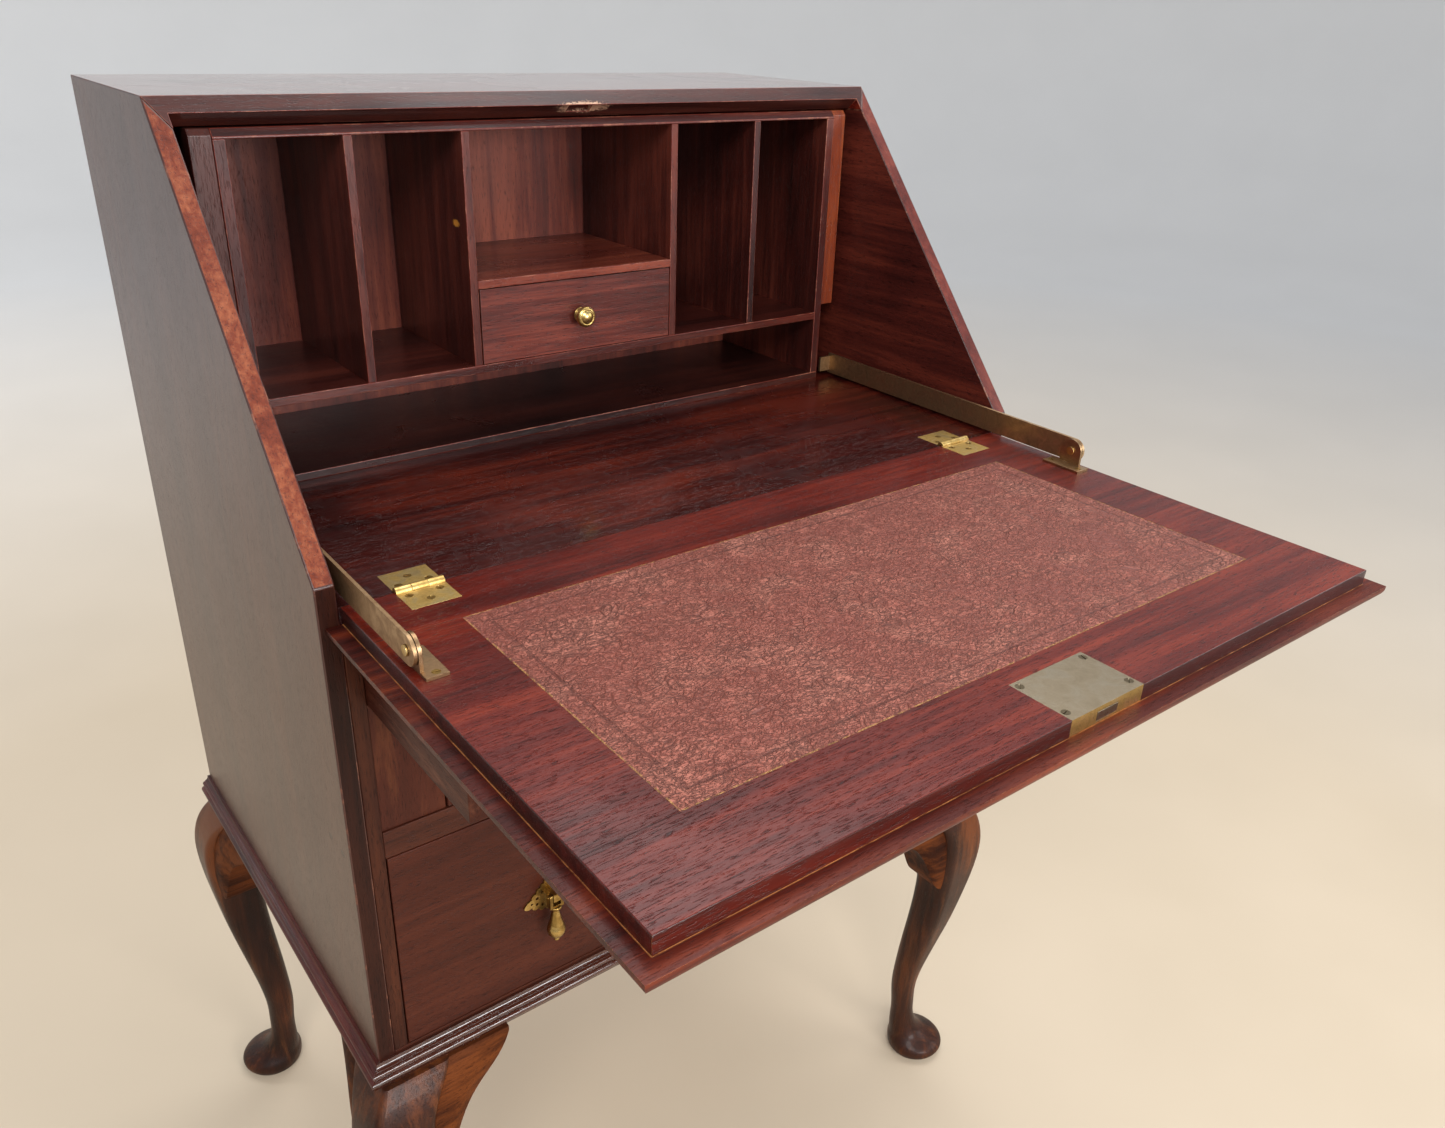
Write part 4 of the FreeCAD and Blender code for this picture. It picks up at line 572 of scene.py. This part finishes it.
for node, (tones, along, seed, edge, width, settings) in WOODS.items():
    surface = wood("wood_" + node, tones, along, seed, **settings)
    refine(node, surface, edge, width, faces=FACES.get(node, ()))

for count, node in enumerate(("leg_front_left", "leg_front_right", "leg_back_left",
                              "leg_back_right")):
    surface = wood("wood_" + node, LEG, "z", 40.0 + count, rough=0.4, coat=0.08, figure=0.8,
                   specular=0.2, wear=0.25, worn=(118, 70, 34))
    refine(node, surface, None, 0.0006)

hide = leather("leather_crackled", hide_low, hide_high)
refine("leather_inset", hide, None, 0.0004)

YELLOW = ((150, 118, 62), (206, 174, 106), (236, 214, 156))
BAR = ((128, 98, 70), (172, 140, 104), (204, 174, 134))
GREY = ((116, 104, 84), (146, 132, 110), (168, 156, 134))
SCREW = ((58, 50, 38), (98, 86, 66), (136, 122, 98))
ANTIQUE = ((84, 64, 32), (160, 128, 70), (214, 184, 118))

METALS = {
    # node: tones, roughness, bevel in metres
    "hinge_case_leaves": (YELLOW, 0.4, 0.0002),
    "hinge_fall_leaves": (YELLOW, 0.4, 0.0002),
    "hinge_pins": (YELLOW, 0.25, 0.0001),
    "hinge_case_screws": (ANTIQUE, 0.34, 0.00008),
    "fall_screws": (ANTIQUE, 0.34, 0.00008),
    "lock_screws": (SCREW, 0.36, 0.00008),
    "lock_case": (GREY, 0.36, 0.00025),
    "lock_bolt": (GREY, 0.3, 0.0003),
    "escutcheon": (YELLOW, 0.34, 0.0002),
    "stay_brackets": (BAR, 0.34, 0.0003),
    "stay_rivets": (YELLOW, 0.3, 0.0003),
    "stay_bar_left": (BAR, 0.44, 0.0003),
    "stay_bar_right": (BAR, 0.44, 0.0003),
    "inner_drawer_knob": (YELLOW, 0.26, 0.0002),
    "upper_pull_plates": (ANTIQUE, 0.34, 0.00025),
    "lower_pull_plates": (ANTIQUE, 0.34, 0.00025),
}
METALS.update({"%s_pull_%s_drop" % (row, hand): (ANTIQUE, 0.28, 0.00025)
               for row in ("upper", "lower") for hand in ("left", "right")})
# The lock's edge plate is brassier than its face.
METAL_FACES = {"lock_case": [(faces_front, brass("metal_selvedge", YELLOW, 0.36, 5.0, 0.8))]}

for count, (node, (tones, rough, width)) in enumerate(METALS.items()):
    refine(node, brass("metal_" + node, tones, rough, 0.21 * count), None, width,
           faces=METAL_FACES.get(node, ()))


# ---------------------------------------------------------------------------
# Stage
# ---------------------------------------------------------------------------

FLOOR_SIDES = 96
FLOOR_RINGS = [(2.0, 0.0), (4.6, 0.0), (5.4, 0.08), (6.0, 0.4), (6.4, 1.0), (6.5, 1.8),
               (6.5, 2.6)]          # radius, height
GROUND = ((196, 180, 156), (206, 190, 167))
WALL = ((232, 232, 231), (238, 238, 237))
PALING = (1.2, 4.6)                 # distances between which one turns into the other


def stage_floor():
    """A plain pale floor that curves up into a low wall all round, far from the desk. It pales
    from GROUND near the desk to WALL far from it."""
    s = Shader("plain_floor")
    cloud = s.noise(s.coords, 3.0, 3.0, 0.5)
    ground = s.mix(cloud, *[linear(*each) for each in GROUND])
    wall = s.mix(cloud, *[linear(*each) for each in WALL])
    away = s.add("ShaderNodeVectorMath", operation="LENGTH")
    s.link(s.coords, away.inputs[0])
    far = s.span(away.outputs["Value"], *PALING)
    colour = s.mix(far, ground, wall)
    material = s.finish(colour, s.span(cloud, 0.3, 0.7, 0.5, 0.62))
    mesh = bpy.data.meshes.new("floor")
    work = bmesh.new()
    rings = []
    turns = [2 * math.pi * i / FLOOR_SIDES for i in range(FLOOR_SIDES)]
    for radius, height in FLOOR_RINGS:
        rings.append([work.verts.new((radius * math.cos(t), radius * math.sin(t), height))
                      for t in turns])
    work.faces.new(rings[0])
    for inner, outer in zip(rings, rings[1:]):
        for i in range(FLOOR_SIDES):
            j = (i + 1) % FLOOR_SIDES
            work.faces.new((inner[i], outer[i], outer[j], inner[j]))
    for face in work.faces:
        face.smooth = True
    work.to_mesh(mesh)
    work.free()
    mesh.materials.append(material)
    floor = bpy.data.objects.new("floor", mesh)
    bpy.context.scene.collection.objects.link(floor)


def area_light(name, place, target, size, power):
    """A soft rectangular light at a place, turned towards a target."""
    data = bpy.data.lights.new(name, "AREA")
    data.shape = "RECTANGLE"
    data.size, data.size_y = size
    data.energy = power
    light = bpy.data.objects.new(name, data)
    bpy.context.scene.collection.objects.link(light)
    aim = (Vector(target) - Vector(place)).to_track_quat("-Z", "Y")
    light.matrix_world = Matrix.Translation(place) @ aim.to_matrix().to_4x4()


def set_world():
    """Faint even light from all round."""
    world = bpy.data.worlds.new("soft_room")
    world.use_nodes = True
    back = world.node_tree.nodes["Background"]
    back.inputs["Color"].default_value = SKY
    back.inputs["Strength"].default_value = SKY_STRENGTH
    bpy.context.scene.world = world


LIGHTS = [
    # name, place, target, size, watts
    ("key", (-1.3, -1.9, 2.5), (0, 0, 0.7), (1.5, 1.0), 52.0),
    ("overhead", (0.9, 0.6, 2.9), (0, 0, 0.6), (2.0, 1.4), 38.0),
    ("fill", (2.3, -1.6, 1.5), (0, 0, 0.6), (1.4, 1.4), 18.0),
    ("front", (0.15, -2.2, 1.2), (0, 0.3, 0.93), (1.2, 0.6), 34.0),
    ("wall", (-1.2, 2.8, 2.4), (-0.6, 3.6, 0.3), (2.5, 1.0), 35.0),
]
SKY, SKY_STRENGTH = (0.93, 0.95, 1.0, 1.0), 0.5
CAMERA_PLACE = (-0.4818, -0.6511, 1.0699)
SENSOR_WIDTH, LENS = 36.0, 28.47    # millimetres


def set_camera():
    """The camera stands in front of the desk's left corner and looks down at it."""
    data = bpy.data.cameras.new("camera")
    data.sensor_fit = "HORIZONTAL"
    data.sensor_width = SENSOR_WIDTH
    data.lens = LENS
    camera = bpy.data.objects.new("camera", data)
    bpy.context.scene.collection.objects.link(camera)
    right = Vector((0.79344, -0.60775, 0.03300))
    down = Vector((-0.24245, -0.36534, -0.89875))
    ahead = Vector((0.55827, 0.70510, -0.43722))
    turn = Matrix((right, -down, -ahead)).transposed().to_4x4()
    camera.matrix_world = Matrix.Translation(CAMERA_PLACE) @ turn
    bpy.context.scene.camera = camera


stage_floor()
for settings in LIGHTS:
    area_light(*settings)
set_world()
set_camera()
bpy.context.scene.view_settings.view_transform = "Standard"
